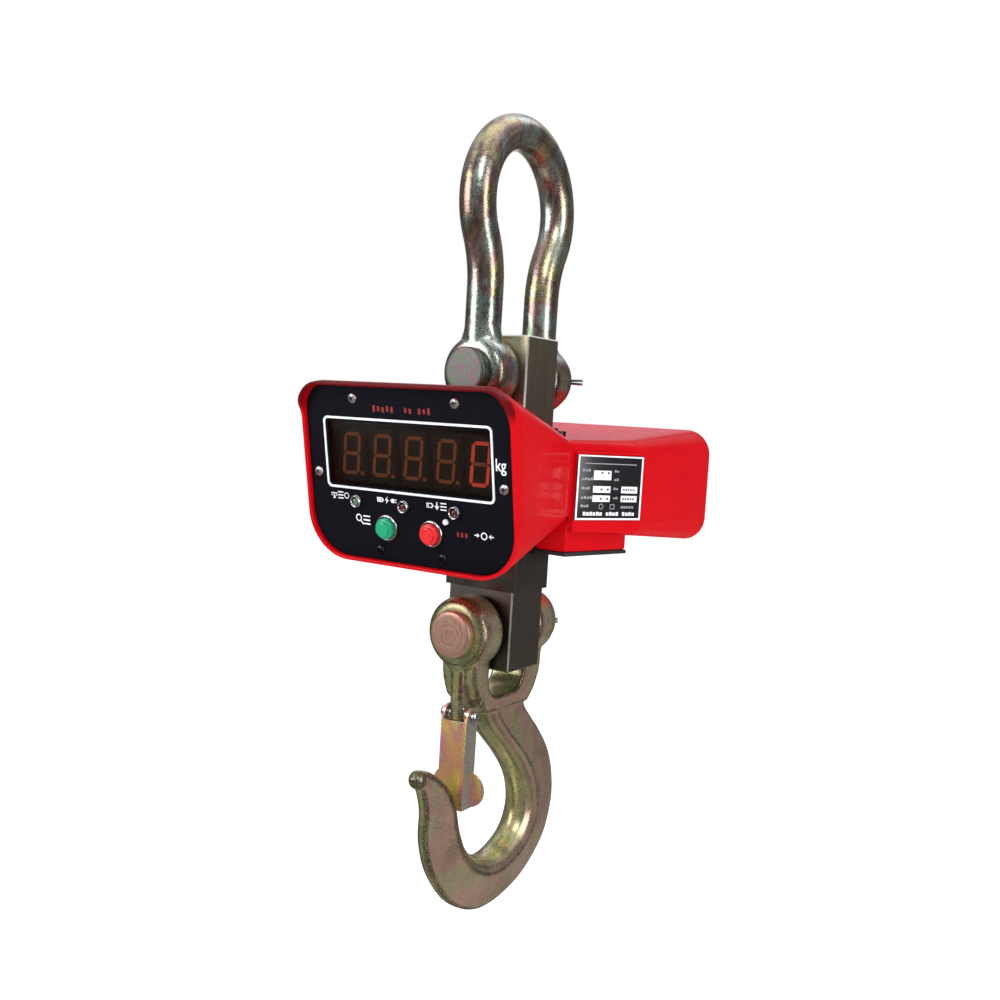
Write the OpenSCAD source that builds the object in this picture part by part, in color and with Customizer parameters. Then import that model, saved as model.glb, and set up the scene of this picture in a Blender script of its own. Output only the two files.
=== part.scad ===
// Crane scale: a load-cell bar hangs on a bow shackle and carries a safety hook.
// A sheet-metal housing round the bar holds the display head in front and the
// battery box behind. Front is -Y, up is +Z, the origin is the bearing point
// under the crown of the shackle bow. Millimetres.

/* [Suspension] */
// Diameter of the shackle's round bar
rod_d = 27; // [24:0.5:28]
// Centreline radius of the bow's crown
bow_r = 55; // [52:0.5:58]
// Distance from the bow's bearing point down to the upper pin
bow_drop = 167; // [164:1:175]
// Diameter of both load pins
pin_d = 28; // [24:0.5:29]
// Diameter of the pins' flat heads
pin_head_d = 35; // [33:0.5:38]
// Diameter of the forged eyes that hold the pins
ear_d = 54; // [50:1:56]

/* [Load cell] */
// Width of the load-cell bar across the front
cell_w = 58; // [54:1:60]
// Thickness of the load-cell bar, front to back
cell_t = 43; // [40:1:44]
// Distance between the two load pins
pin_pitch = 192; // [190:1:196]
// Bar end beyond each pin's axis
cell_end = 29.5; // [28:0.5:31]

/* [Housing] */
// Width of the display head across its rim
head_w = 180; // [178:1:182]
// Rim height above the window's centre
head_up = 50.4; // [49:0.2:52]
// Rim depth below the window's centre
head_down = 77.5; // [77:0.5:80]
// Forward tilt of the display head, degrees
head_tilt = 10.4; // [8:0.2:12]
// Width of the waist in front of the load cell
waist_w = 120; // [118:1:124]
// Width of the rear battery box
rear_w = 180; // [176:1:184]
// Sheet thickness of the housing
wall = 2; // [1.5:0.25:2.5]

/* [Display] */
// Width of the display window's white line
window_w = 144; // [144:1:146]
// Height of the display window's white line
window_h = 51; // [51:0.5:53]
// Distance from digit to digit
digit_pitch = 27.7; // [27.5:0.1:27.7]

/* [Hidden] */
$fn = 64;
fit = 0.05;               // radial running clearance of a pin in its bore
upper_pin_z = -bow_drop;
lower_pin_z = -bow_drop - pin_pitch;
cell_top = upper_pin_z + cell_end;
cell_bottom = lower_pin_z - cell_end;
window_z = -230;          // height of the window's centre
ear_in = 24.5;            // inner face of each eye, from the middle
ear_out = 52.5;           // outer face of each eye
leg_y = 39;               // centreline of the shackle's straight legs
washer_t = 3;
cotter_d = 4.2;
panel_y = -121.1;         // window centre on the panel's front face
panel_t = 2;
hood_turn = 90 + head_tilt;
lip = 3.5;                // rim stands this far in front of the panel
visor = 7.5;              // the visor stands this far in front of the panel
waist_y = 3;              // the housing is narrowest here
flare_w = 172;            // width where the steep flare behind the waist ends
flare_end_y = 62;
rear_y = 185;
block_front = [57, 3];    // front corner of the block under the waist: x, y
block_rear = [73, 70];
plate_y = 174;            // front face of the rear plate
steel = "#a39b78";
red = "#c8101c";

// --- helpers -----------------------------------------------------------------
// Rounded rectangle from (x0, y0) to (x1, y1), with one radius at the bottom and one at the top
function corner(cx, cy, r, a0) =
    [for (i = [0:8]) [cx + r * cos(a0 + i * 11.25), cy + r * sin(a0 + i * 11.25)]];
function rounded(x0, y0, x1, y1, rb, rt) = concat(
    corner(x1 - rt, y1 - rt, rt, 0), corner(x0 + rt, y1 - rt, rt, 90),
    corner(x0 + rb, y0 + rb, rb, 180), corner(x1 - rb, y0 + rb, rb, 270));
function head_outline(inset) = rounded(-head_w / 2 + inset, -head_down + inset,
    head_w / 2 - inset, head_up - inset, 34 - inset, 20 - inset);

// Children drawn on the panel plane: x to the right, y up the panel, z out of it
module on_panel() {
    translate([0, panel_y, window_z]) rotate([hood_turn, 0, 0]) children();
}
// Slab of an outline drawn in X and Z, standing at y
module standing(y, t, points) {
    translate([0, y + t, 0]) rotate([90, 0, 0]) linear_extrude(t) polygon(points);
}
// Cylinder along Y from y0 to y1
module ycyl(r, y0, y1) {
    translate([0, y1, 0]) rotate([90, 0, 0]) cylinder(h = y1 - y0, r = r);
}
// Cylinder along X, centred
module xcyl(r, h) {
    rotate([0, 90, 0]) cylinder(h = h, r = r, center = true);
}
module block(x0, x1, y0, y1, z0, z1) {
    translate([x0, y0, z0]) cube([x1 - x0, y1 - y0, z1 - z0]);
}

// Smooth curve through points: Catmull-Rom, n steps a span
function spline_at(p, i, t) =
    let (a = p[max(i - 1, 0)], b = p[i], c = p[i + 1], d = p[min(i + 2, len(p) - 1)])
    0.5 * (2 * b + (c - a) * t + (2 * a - 5 * b + 4 * c - d) * t * t + (3 * b - a - 3 * c + d) * t * t * t);
function spline(p, n) = concat(
    [for (i = [0:len(p) - 2]) for (k = [0:n - 1]) spline_at(p, i, k / n)], [p[len(p) - 1]]);

// Solid skin over a list of rings with the same number of points each
module skin(rings) {
    n = len(rings[0]);
    m = len(rings);
    polyhedron(points = [for (r = rings) each r],
        faces = concat(
            [for (i = [0:m - 2]) for (j = [0:n - 1])
                [i * n + j, i * n + (j + 1) % n, (i + 1) * n + (j + 1) % n, (i + 1) * n + j]],
            [[for (j = [n - 1:-1:0]) j]],
            [[for (j = [0:n - 1]) (m - 1) * n + j]]),
        convexity = 6);
}
function unit(v) = v / norm(v);
function tangent(p, i) = unit(p[min(i + 1, len(p) - 1)] - p[max(i - 1, 0)]);
// Round tube of radius r along 3-D points
module tube(points, r, sides = 8) {
    skin([for (i = [0:len(points) - 1])
        let (t = tangent(points, i),
             s = unit(cross(t, abs(t[0]) > 0.9 ? [0, 0.3, 1] : [1, 0.2, 0])),
             w = cross(s, t))
        [for (k = [0:sides - 1]) points[i] + r * (cos(k * 360 / sides) * s + sin(k * 360 / sides) * w)]]);
}

// --- suspension shackle --------------------------------------------------------
// The legs run straight up, curve outwards and meet the crown's arc without a kink.
crown_z = rod_d / 2 - bow_r;
flare_r = 80;
flare_y = leg_y + flare_r;
flare_z = crown_z - sqrt(pow(bow_r + flare_r, 2) - pow(flare_y, 2));
flare_a = asin((crown_z - flare_z) / (bow_r + flare_r));

function arc(cy, cz, r, a0, a1, n) = [for (i = [0:n])
    let (a = a0 + (a1 - a0) * i / n) [0, cy + r * cos(a), cz + r * sin(a)]];
bow_path = concat([[0, leg_y, upper_pin_z + 12]],
    arc(flare_y, flare_z, flare_r, 180, 180 - flare_a, 6),
    arc(0, crown_z, bow_r, -flare_a + 9, 180 + flare_a - 9, 22),
    arc(-flare_y, flare_z, flare_r, flare_a, 0, 6),
    [[0, -leg_y, upper_pin_z + 12]]);
module eye(z) {
    for (s = [0, 1]) mirror([0, s, 0]) translate([0, 0, z]) {
        ycyl(ear_d / 2, ear_in + 3, ear_out - 4);
        translate([0, ear_in + 3, 0]) rotate([90, 0, 0])
            cylinder(h = 3, r1 = ear_d / 2, r2 = ear_d / 2 - 2.5);
        translate([0, ear_out - 4, 0]) rotate([-90, 0, 0])
            cylinder(h = 4, r1 = ear_d / 2, r2 = ear_d / 2 - 5);
    }
}
module shackle() {
    color(steel) difference() {
        union() {
            tube(bow_path, rod_d / 2, 20);
            eye(upper_pin_z);
        }
        translate([0, 0, upper_pin_z]) ycyl(pin_d / 2 + fit, -70, 70);
    }
}

// Load pin along Y: flat head in front, cross hole for the split pin behind
washer_y = ear_out;
cotter_y = ear_out + washer_t + 3.5;
module load_pin(z, head_y) {
    color("#b5a878") translate([0, 0, z]) difference() {
        union() {
            ycyl(pin_d / 2, head_y + 1, cotter_y + 6);
            ycyl(pin_d / 2 - 2, cotter_y + 6, cotter_y + 8);
            ycyl(pin_head_d / 2, head_y + 1.2, -ear_out - 0.02);
            translate([0, head_y + 1.2, 0]) rotate([90, 0, 0])
                cylinder(h = 1.2, r1 = pin_head_d / 2, r2 = pin_head_d / 2 - 1.2);
        }
        translate([0, cotter_y, 0]) xcyl(cotter_d / 2 + 0.2, pin_d + 10);
    }
}
module pin_washer(z) {
    color("#c0b68a") translate([0, 0, z]) difference() {
        ycyl(23, washer_y + 0.05, washer_y + washer_t);
        ycyl(pin_d / 2 + 0.3, washer_y - 1, washer_y + washer_t + 1);
    }
}
// Split pin: a ring at one end, the shank through the load pin, two close legs of length leg
module cotter(z, leg) {
    color("#8f8a7a") translate([0, cotter_y, z]) {
        xcyl(cotter_d / 2, pin_d + 7);
        translate([-pin_d / 2 - 7.5, 0, 0]) rotate([90, 0, 0]) rotate_extrude()
            translate([4, 0]) circle(d = 2.4);
        for (a = [3, -3]) translate([pin_d / 2 + 3, 0, 0]) rotate([0, a, 0])
            translate([leg / 2 - 1, 0, 0]) xcyl(1.1, leg);
    }
}
module shackle_pin() { load_pin(upper_pin_z, -60); }
module shackle_washer() { pin_washer(upper_pin_z); }
module shackle_cotter() { cotter(upper_pin_z, 13); }

// --- load cell -------------------------------------------------------------------
gauge_z = (upper_pin_z + lower_pin_z) / 2;
gauge_r = 15;
cable_z = gauge_z - 24;   // the gauge cable leaves the bar here
module load_cell() {
    c = 1.2;
    plan = [[-cell_w / 2 + c, -cell_t / 2], [cell_w / 2 - c, -cell_t / 2], [cell_w / 2, -cell_t / 2 + c],
        [cell_w / 2, cell_t / 2 - c], [cell_w / 2 - c, cell_t / 2], [-cell_w / 2 + c, cell_t / 2],
        [-cell_w / 2, cell_t / 2 - c], [-cell_w / 2, -cell_t / 2 + c]];
    color("#5b534d") difference() {
        translate([0, 0, cell_bottom]) linear_extrude(cell_top - cell_bottom) polygon(plan);
        for (z = [upper_pin_z, lower_pin_z]) translate([0, 0, z]) ycyl(pin_d / 2 + fit, -30, 30);
        for (s = [-1, 1]) translate([s * (cell_w / 2 - 4), 0, gauge_z]) xcyl(gauge_r, 16);
        translate([-cell_w / 2, 10, cable_z]) xcyl(3.2, 24);
    }
}
module gauge_covers() {
    color("#8d8f92") for (s = [-1, 1])
        translate([s * (cell_w / 2 - 0.9), 0, gauge_z]) xcyl(gauge_r - 0.1, 1.6);
}
module cell_hole(grow, z0, z1) {
    block(-cell_w / 2 - grow, cell_w / 2 + grow, -cell_t / 2 - grow, cell_t / 2 + grow, z0, z1);
}
module around_cell(z0, z1, grow, gap) {
    difference() {
        cell_hole(grow, z0, z1);
        cell_hole(gap, z0 - 1, z1 + 1);
    }
}
roof_z = window_z + 18;
base_z = window_z - 66;
seal_grow = 3;
module top_seal() { color("#1c1c1e") around_cell(roof_z - 8, roof_z + 8, seal_grow, 0.05); }
module bottom_collar() { color("#4a423d") around_cell(window_z - 97.6, base_z - 3.05, 2.2, 0.05); }
// Two angle brackets hold the housing's roof to the bar
clamp_x = cell_w / 2 + 13;
clamp_y = 9;
module cell_clamps() {
    color("#9a9c9e") for (s = [-1, 1]) scale([s, 1, 1]) difference() {
        union() {
            block(cell_w / 2 + 0.05, cell_w / 2 + 3, -8, 20, roof_z - 34, roof_z - 10);
            block(cell_w / 2 + 0.05, cell_w / 2 + 3, 6, 26, roof_z - 34, roof_z - wall - 0.05);
            block(cell_w / 2 + 0.05, cell_w / 2 + 22, 0, 26, roof_z - wall - 4, roof_z - wall - 0.05);
        }
        cell_hole(seal_grow + 0.05, roof_z - 8.05, roof_z + 1);
        translate([clamp_x, clamp_y, roof_z - 12]) cylinder(r = 3.1, h = 20);
    }
}
// Highest point of the rising roof under a screw head
seat_z = roof_z + 2 * (clamp_y + 5 - waist_y) / (flare_end_y - waist_y) + 0.1;
module clamp_screws() {
    color("#303234") for (s = [-1, 1]) translate([s * clamp_x, clamp_y, 0]) difference() {
        union() {
            translate([0, 0, roof_z - 12]) cylinder(r = 3, h = 14);
            translate([0, 0, seat_z]) cylinder(r = 5, h = 5.5);
        }
        translate([0, 0, seat_z + 2.5]) cylinder(r = 2.9, h = 6, $fn = 6);
    }
}

// --- housing ------------------------------------------------------------------
// Front hood: a funnel from the waist to the tilted rim, with a visor and an inner flange
function waist_outline(inset) = rounded(-waist_w / 2 + inset, window_z - 40 + inset,
    waist_w / 2 - inset, roof_z - inset, 6, 8);
module front_hood() {
    color(red) difference() {
        union() {
            difference() {
                hull() {
                    on_panel() translate([0, 0, -1]) linear_extrude(1) polygon(head_outline(0));
                    standing(waist_y - 0.5, 0.5, waist_outline(0));
                }
                hull() {
                    on_panel() translate([0, 0, -1]) linear_extrude(2) polygon(head_outline(wall));
                    standing(waist_y - 0.5, 1.5, waist_outline(wall));
                }
            }
            // rim lip all round, and the visor over the top
            on_panel() difference() {
                intersection() {
                    translate([0, 0, -0.6]) linear_extrude(visor + 2) polygon(head_outline(0.05));
                    rotate([90, 0, 90]) translate([0, 0, -head_w]) linear_extrude(2 * head_w)
                        polygon([[-100, -2], [100, -2], [100, visor], [38, visor], [34, visor - 0.8],
                            [29, lip + 0.8], [25, lip], [-100, lip]]);
                }
                translate([0, 0, -2]) linear_extrude(visor + 4) polygon(head_outline(wall + 0.6));
            }
            // inner flange that the panel is screwed to
            on_panel() translate([0, 0, -panel_t - 3.05]) linear_extrude(3) difference() {
                polygon(head_outline(wall + 0.2));
                polygon(rounded(-74, -62, 74, 33, 20, 14));
            }
        }
        on_panel() for (p = panel_screw_places()) translate([p[0], p[1], -8]) cylinder(r = 1.9, h = 10);
        cell_hole(seal_grow + 0.05, roof_z - 100, roof_z + 40);
    }
}
function panel_screw_places() = [for (p = [[43.5, 38.8], [79.5, -15], [27, -67.2]])
    for (s = [-1, 1]) [s * p[0], p[1]]];

// Rear housing: it flares steeply behind the waist, then runs back as the battery box
function rear_outline(inset) = rounded(-rear_w / 2 + inset, window_z - 64 + inset,
    rear_w / 2 - inset, window_z + 31 - inset, 20 - inset, 22 - inset);
function flare_outline(inset) = rounded(-flare_w / 2 + inset, window_z - 54 + inset,
    flare_w / 2 - inset, window_z + 20 - inset, 12 - inset, 14 - inset);
module rear_shell(inset, y0, y1) {
    hull() {
        standing(y0, 0.5, rounded(-waist_w / 2 + inset, window_z - 48 + inset, waist_w / 2 - inset,
            roof_z - inset, 6, 8));
        standing(flare_end_y, 0.1, flare_outline(inset));
    }
    hull() {
        standing(flare_end_y, 0.1, flare_outline(inset));
        standing(y1 - 0.5, 0.5, rear_outline(inset));
    }
}
// Children drawn on the right flank: x out of it, y back along it, z up from the window's height
side_a = atan((flare_w - waist_w) / 2 / (flare_end_y - waist_y));
pad_t = 2;                // thickness of the pads on the flanks
module on_flare() {
    translate([waist_w / 2, waist_y, window_z]) rotate([0, 0, -side_a]) children();
}
module block_plan(inset) {
    front = block_front[0] - inset;
    rear = block_rear[0] - inset;
    polygon([[-front, block_front[1] + inset], [front, block_front[1] + inset],
        [rear, block_rear[1] - inset], [-rear, block_rear[1] - inset]]);
}
module rear_housing() {
    color(red) difference() {
        union() {
            rear_shell(0, waist_y, rear_y);
            translate([0, 0, base_z]) linear_extrude(30) block_plan(0);
            // flat pads on the flanks, one of them for the rating plate
            for (s = [0, 1]) mirror([s, 0, 0]) on_flare()
                translate([-1, 0.5, -50]) cube([1 + pad_t, 64.5, 60]);
        }
        difference() {
            rear_shell(wall, waist_y - 0.2, rear_y + 0.2);
            // flange at the back that the rear plate is screwed to
            standing(plate_y - 4, 3.95, rear_outline(0));
        }
        standing(plate_y - 8, 9, rounded(-73, window_z - 56, 73, window_z + 23, 12, 14));
        translate([0, 0, base_z - 1]) linear_extrude(33) block_plan(wall);
        cell_hole(seal_grow + 0.05, base_z - 5, roof_z + 20);
        for (s = [-1, 1]) translate([s * clamp_x, clamp_y, roof_z - 10]) cylinder(r = 3.1, h = 20);
        for (p = rear_screw_places()) translate([p[0], plate_y - 6, p[1]]) ycyl(1.6, 0, 8);
        translate([socket_at[0], plate_y - 6, socket_at[1]]) ycyl(5.2, 0, 8);
    }
}
function rear_screw_places() = [for (x = [-78, 78]) for (z = [window_z - 38, window_z + 8]) [x, z]];

module bottom_plate() {
    color("#141416") difference() {
        translate([0, 0, base_z - 3]) linear_extrude(2.95) block_plan(-0.6);
        cell_hole(0.5, base_z - 10, base_z + 5);
    }
}

// --- display head -------------------------------------------------------------
led_places = [[-46, -34], [-3.5, -34], [39.5, -34]];
button_places = [[-19.5, -50.6], [19, -50.6]];
ir_place = [31.5, -41.2];
ring_r = 9.5;
cap_r = 7.3;
module front_panel() {
    color("#191b22") on_panel() translate([0, 0, -panel_t]) difference() {
        linear_extrude(panel_t) polygon(head_outline(wall + 1));
        translate([0, 0, -1]) linear_extrude(panel_t + 2) polygon(
            rounded(-window_w / 2 + 3, -window_h / 2 + 3, window_w / 2 - 3, window_h / 2 - 3, 2, 2));
        for (p = panel_screw_places()) translate([p[0], p[1], -1]) cylinder(r = 2.2, h = 5);
        for (p = led_places) translate([p[0], p[1], -1]) cylinder(r = 3.7, h = 5);
        for (p = button_places) translate([p[0], p[1], -1]) cylinder(r = 8.1, h = 5);
        translate([ir_place[0], ir_place[1], -1]) cylinder(r = 2.1, h = 5);
    }
}
module window_frame() {
    color("#f0f0f2") on_panel() translate([0, 0, 0.03]) linear_extrude(0.7) difference() {
        polygon(rounded(-window_w / 2, -window_h / 2, window_w / 2, window_h / 2, 4, 4));
        offset(delta = -1.6) polygon(rounded(-window_w / 2, -window_h / 2, window_w / 2, window_h / 2, 4, 4));
    }
}
module display_filter() {
    color("#241512") on_panel() translate([0, 0, -panel_t - 2.1]) linear_extrude(2)
        polygon(rounded(-window_w / 2, -25, window_w / 2, 25, 2, 2));
}
digit_z = -8.3;
module digit(i) {
    color("#3a1512") on_panel() translate([(i - 3) * digit_pitch, -2, digit_z - 11]) {
        difference() {
            linear_extrude(11) square([digit_pitch - 0.3, 40], center = true);
            translate([0, 0, 10.4]) linear_extrude(1) square([24, 36.5], center = true);
        }
        translate([0, 0, 10.4]) linear_extrude(0.6) segments();
    }
}
// Seven bars of a figure eight and its decimal point, leaning by a shear of the outline
seg_h = 30.5;
seg_w = 15.5;
seg_t = 2.5;
function lean(p) = [p[0] + 0.14 * p[1], p[1]];
module bar(x, y, l, upright) {
    h = l / 2;
    t = seg_t / 2;
    flat = [[-h, 0], [-h + t, t], [h - t, t], [h, 0], [h - t, -t], [-h + t, -t]];
    polygon([for (p = flat) lean(upright ? [x + p[1], y + p[0]] : [x + p[0], y + p[1]])]);
}
module segments() {
    hh = (seg_h - seg_t) / 2;
    ww = (seg_w - seg_t) / 2;
    for (y = [-hh, 0, hh]) bar(0, y, 2 * ww - 0.8, false);
    for (x = [-ww, ww]) for (y = [-hh / 2, hh / 2]) bar(x, y, hh - 0.8, true);
    translate([8.6, -hh]) circle(r = 1.5);
}
module digit_1() { digit(1); }
module digit_2() { digit(2); }
module digit_3() { digit(3); }
module digit_4() { digit(4); }
module digit_5() { digit(5); }
board_back = digit_z - 11 - 1.7;
module display_board() {
    color("#1d5c33") on_panel() translate([-71, -23, board_back]) cube([142, 44, 1.6]);
}
main_z = -42;
module main_board() {
    color("#1d5c33") on_panel() difference() {
        translate([-60, -48, main_z]) cube([120, 74, 1.6]);
        for (x = [-55, 55]) for (y = [-43, 21]) translate([x, y, main_z - 1]) cylinder(r = 1.6, h = 4);
    }
}
module board_parts() {
    color("#22252a") on_panel() translate([0, 0, main_z + 1.65]) {
        translate([-30, -20, 0]) cube([22, 22, 2.4]);
        translate([8, -14, 0]) cube([16, 10, 2]);
        translate([-48, -40, 0]) cube([20, 12, 9]);
        for (x = [34, 46]) translate([x, -34, 0]) cylinder(r = 4.5, h = 12);
        translate([20, 12, 0]) cube([30, 6, 8]);
    }
}
module led_bezels() {
    color("#c9ccd0") on_panel() for (p = led_places) translate([p[0], p[1], 0]) difference() {
        union() {
            translate([0, 0, 0.03]) cylinder(r1 = 4.8, r2 = 4.1, h = 3);
            translate([0, 0, -7]) cylinder(r = 3.6, h = 7.1);
        }
        translate([0, 0, -8]) cylinder(r = 2.6, h = 12);
        translate([0, 0, 1.2]) cylinder(r1 = 2.6, r2 = 3.6, h = 2);
    }
}
module led(i) {
    on_panel() translate([led_places[i][0], led_places[i][1], -6]) {
        cylinder(r = 2.5, h = 6.4);
        translate([0, 0, 6.4]) sphere(r = 2.5);
    }
}
module stable_led() { color("#dfe8e0") led(0); }
module charge_led() { color("#3c0f10") led(1); }
module low_battery_led() { color("#3c0f10") led(2); }
module ir_receiver() {
    color("#f2f2f2") on_panel() translate([ir_place[0], ir_place[1], -5]) {
        cylinder(r = 2, h = 5.6);
        translate([0, 0, 5.6]) intersection() {
            sphere(r = 2);
            translate([-3, -3, 0]) cube(6);
        }
    }
}
// Push buttons: the cap slides inside its ring against the switch body
cap_top = 7.2;
module cap(i) {
    on_panel() translate([button_places[i][0], button_places[i][1], 0]) rotate_extrude()
        polygon([[0, -4], [cap_r, -4], [cap_r, cap_top - 2.6], [cap_r - 0.4, cap_top - 2.2],
            [5.9, cap_top - 1.6], [5.7, cap_top - 0.5], [5.2, cap_top], [0, cap_top]]);
}
module view_button() { color("#12a878") cap(0); }
module zero_button() { color("#e02030") cap(1); }
module button_rings() {
    color("#d4d6da") on_panel() for (p = button_places) translate([p[0], p[1], 0]) difference() {
        union() {
            translate([0, 0, 0.03]) rotate_extrude() polygon([[0, 0], [ring_r, 0], [ring_r, 0.9],
                [ring_r - 0.8, 2], [0, 2]]);
            translate([0, 0, -13]) cylinder(r = 8, h = 13.1);
        }
        translate([0, 0, -14]) cylinder(r = cap_r + 0.3, h = 20);
    }
}
module button_switches() {
    color("#2b2d30") on_panel() for (p = button_places) translate([p[0], p[1], -15]) {
        translate([0, 0, -3]) cylinder(r = 8, h = 4.9);
        cylinder(r = 7, h = 8.6);
        for (x = [-3, 3]) translate([x - 0.4, -1, -8]) cube([0.8, 2, 5.1]);
    }
}
module panel_screws() {
    color("#c8cacc") on_panel() for (p = panel_screw_places()) translate([p[0], p[1], 0]) difference() {
        union() {
            translate([0, 0, -6.5]) cylinder(r = 1.85, h = 6.6);
            translate([0, 0, 0.03]) cylinder(r1 = 3.6, r2 = 2.6, h = 1.9);
        }
        for (a = [0, 90]) rotate([0, 0, a]) translate([-1.9, -0.4, 1]) cube([3.8, 0.8, 2]);
    }
}
module ribbon_cable() {
    color("#8c8f94") on_panel() translate([-12, 0, 0]) rotate([90, 0, 90]) linear_extrude(24)
        polygon([[-18, board_back - 0.05], [-17, board_back - 0.05], [-17, -30], [16, -36],
            [16, main_z + 1.65], [15, main_z + 1.65], [15, -37], [-18, -31]]);
}

// --- rating plate, electronics cable, battery ------------------------------------
module nameplate() {
    color("#15161a") on_flare() translate([pad_t + 0.05, 1, -41]) cube([1.2, 63, 49]);
}
module cell_cable() {
    color("#2a2a2c") tube(spline([[-26, 10, cable_z], [-36, 10.5, cable_z], [-43, 13, cable_z + 2],
        [-46, 15, cable_z + 10], [-46, 14, cable_z + 21], [-46, 6, cable_z + 29], [-46, -8, cable_z + 34],
        [-46, -30, cable_z + 37], [-45, -52, cable_z + 39], [-44, -64, cable_z + 40],
        [-44, -74, cable_z + 40]], 4), 2.5);
}
battery_y = 92;
battery_h = 47;
tray_z = window_z - 46;
function floor_z(y) = window_z - 54 - 10 * (y - flare_end_y) / (rear_y - flare_end_y) + wall + 0.1;
module battery() {
    color("#3a3d42") {
        block(-53, 45, battery_y, battery_y + 70, tray_z + 2.05, tray_z + 2 + battery_h);
        block(45, 48, battery_y + 4, battery_y + 66, tray_z + 6, tray_z + battery_h - 3);
    }
}
module battery_terminals() {
    color("#c9b46a") for (y = [16, 54])
        block(48.05, 55, battery_y + y - 3, battery_y + y + 3, tray_z + 24, tray_z + 25);
}
module battery_tray() {
    color("#a6a8aa") {
        block(-58, 58, battery_y - 4, battery_y + 72, tray_z, tray_z + 2);
        block(-58, -56, battery_y - 4, battery_y + 72, tray_z + 2, tray_z + 18);
        block(56, 58, battery_y - 4, battery_y + 72, tray_z + 2, tray_z + 18);
        block(-40, 40, battery_y - 4, battery_y - 2, tray_z + 2, tray_z + 20);
        // feet that follow the sloping floor
        for (x = [-56, 44]) translate([x, 0, 0]) rotate([90, 0, 90]) linear_extrude(12) polygon([for (p =
            [[battery_y + 10, 0], [battery_y + 10, 1], [battery_y + 60, 1], [battery_y + 60, 0]])
            [p[0], p[1] == 0 ? floor_z(p[0]) : tray_z + 0.5]]);
    }
}
module battery_cable() {
    color("#a01818") tube(spline([[55.2, battery_y + 16, tray_z + 24.5], [61, battery_y + 14, tray_z + 24.5],
        [64, battery_y, tray_z + 26], [62, battery_y - 16, tray_z + 28], [55, 46, window_z - 18],
        [50, 20, window_z - 20], [47, -4, window_z - 20], [46, -28, window_z - 20], [44, -52, window_z - 20],
        [42, -66, window_z - 20], [42, -74, window_z - 20]], 4), 2);
}

// --- rear plate and battery door ---------------------------------------------------
door_z = window_z - 53;
hinge_y = plate_y + 6.2;
socket_at = [75, window_z - 15];
module rear_plate() {
    color("#191b20") difference() {
        union() {
            standing(plate_y, 2, rear_outline(wall + 2));
            // hinge knuckles of the plate
            for (x = [-40, 40]) {
                translate([x, hinge_y, door_z]) xcyl(3, 12);
                block(x - 6, x + 6, plate_y + 1, hinge_y, door_z - 3, door_z - 1);
            }
        }
        standing(plate_y - 1, 4, rounded(-56, window_z - 46, 56, window_z + 16, 4, 4));
        translate([0, hinge_y, door_z]) xcyl(1.5 + fit, 200);
        for (p = rear_screw_places()) translate([p[0], plate_y - 1, p[1]]) ycyl(2.1, 0, 4);
        translate([socket_at[0], plate_y - 1, socket_at[1]]) ycyl(5.1, 0, 4);
    }
}
module rear_screws() {
    color("#c8cacc") for (p = rear_screw_places()) translate([p[0], plate_y, p[1]]) difference() {
        union() {
            ycyl(1.55, -4, 2.1);
            ycyl(3.4, 2.05, 3.8);
        }
        for (a = [0, 90]) rotate([0, a, 0]) block(-1.9, 1.9, 3, 5, -0.4, 0.4);
    }
}
module battery_door() {
    color("#2a2c31") difference() {
        union() {
            standing(plate_y + 2.4, 2.2, rounded(-60, door_z + 5, 60, window_z + 20, 3, 5));
            for (x = [-26, 26]) translate([x, 0, 0]) {
                translate([0, hinge_y, door_z]) xcyl(3, 15);
                block(-7.5, 7.5, plate_y + 2.4, plate_y + 4.6, door_z, door_z + 8);
            }
        }
        translate([0, hinge_y, door_z]) xcyl(1.5 + fit, 200);
    }
}
module door_pull() {
    color("#85888c") translate([0, plate_y + 4.62, window_z + 9]) {
        ycyl(3, 0, 3);
        ycyl(6.5, 3, 6);
    }
}
module door_hinge_pin() {
    color("#b8babd") translate([0, hinge_y, door_z]) {
        xcyl(1.5, 96);
        for (x = [-48.6, 48.6]) translate([x, 0, 0]) xcyl(2.4, 1.4);
    }
}
module charge_socket() {
    color("#141416") translate([socket_at[0], plate_y, socket_at[1]]) difference() {
        union() {
            ycyl(5, -12, 2.1);
            ycyl(6.5, 2.05, 4);
        }
        ycyl(2.75, -9, 6);
    }
}

// --- hook --------------------------------------------------------------------------
// Inner ridge and outer edge of the forged hook, paired station by station, [y, z] from
// the pin, then half-width at the inner side and at the outer edge.
hook_stations = [
    [-27, -56, 32, -60, 15, 14], [-20, -69, 38, -68, 15, 11], [-7, -84, 52, -79, 15, 8],
    [17, -106, 73, -97, 15, 5.5], [34, -125, 91, -118, 15, 4.5], [43, -143, 100, -141, 15, 4.5],
    [44, -159, 101, -166, 15, 4.5], [36, -173, 88, -195, 15, 4.5], [20, -181, 52, -219, 15, 4.5],
    [2, -183, 2, -226, 15, 4.5], [-18, -176, -38, -210, 15, 4.5], [-33, -163, -66, -180, 14.5, 4.5],
    [-42, -146, -78, -152, 14, 4.5], [-48, -128, -79, -128, 13, 4.5], [-57, -112, -83, -114, 11, 4.5],
    [-73, -99, -89, -105, 7.5, 4], [-87, -94.5, -94, -99.5, 4.5, 3]];
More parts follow.
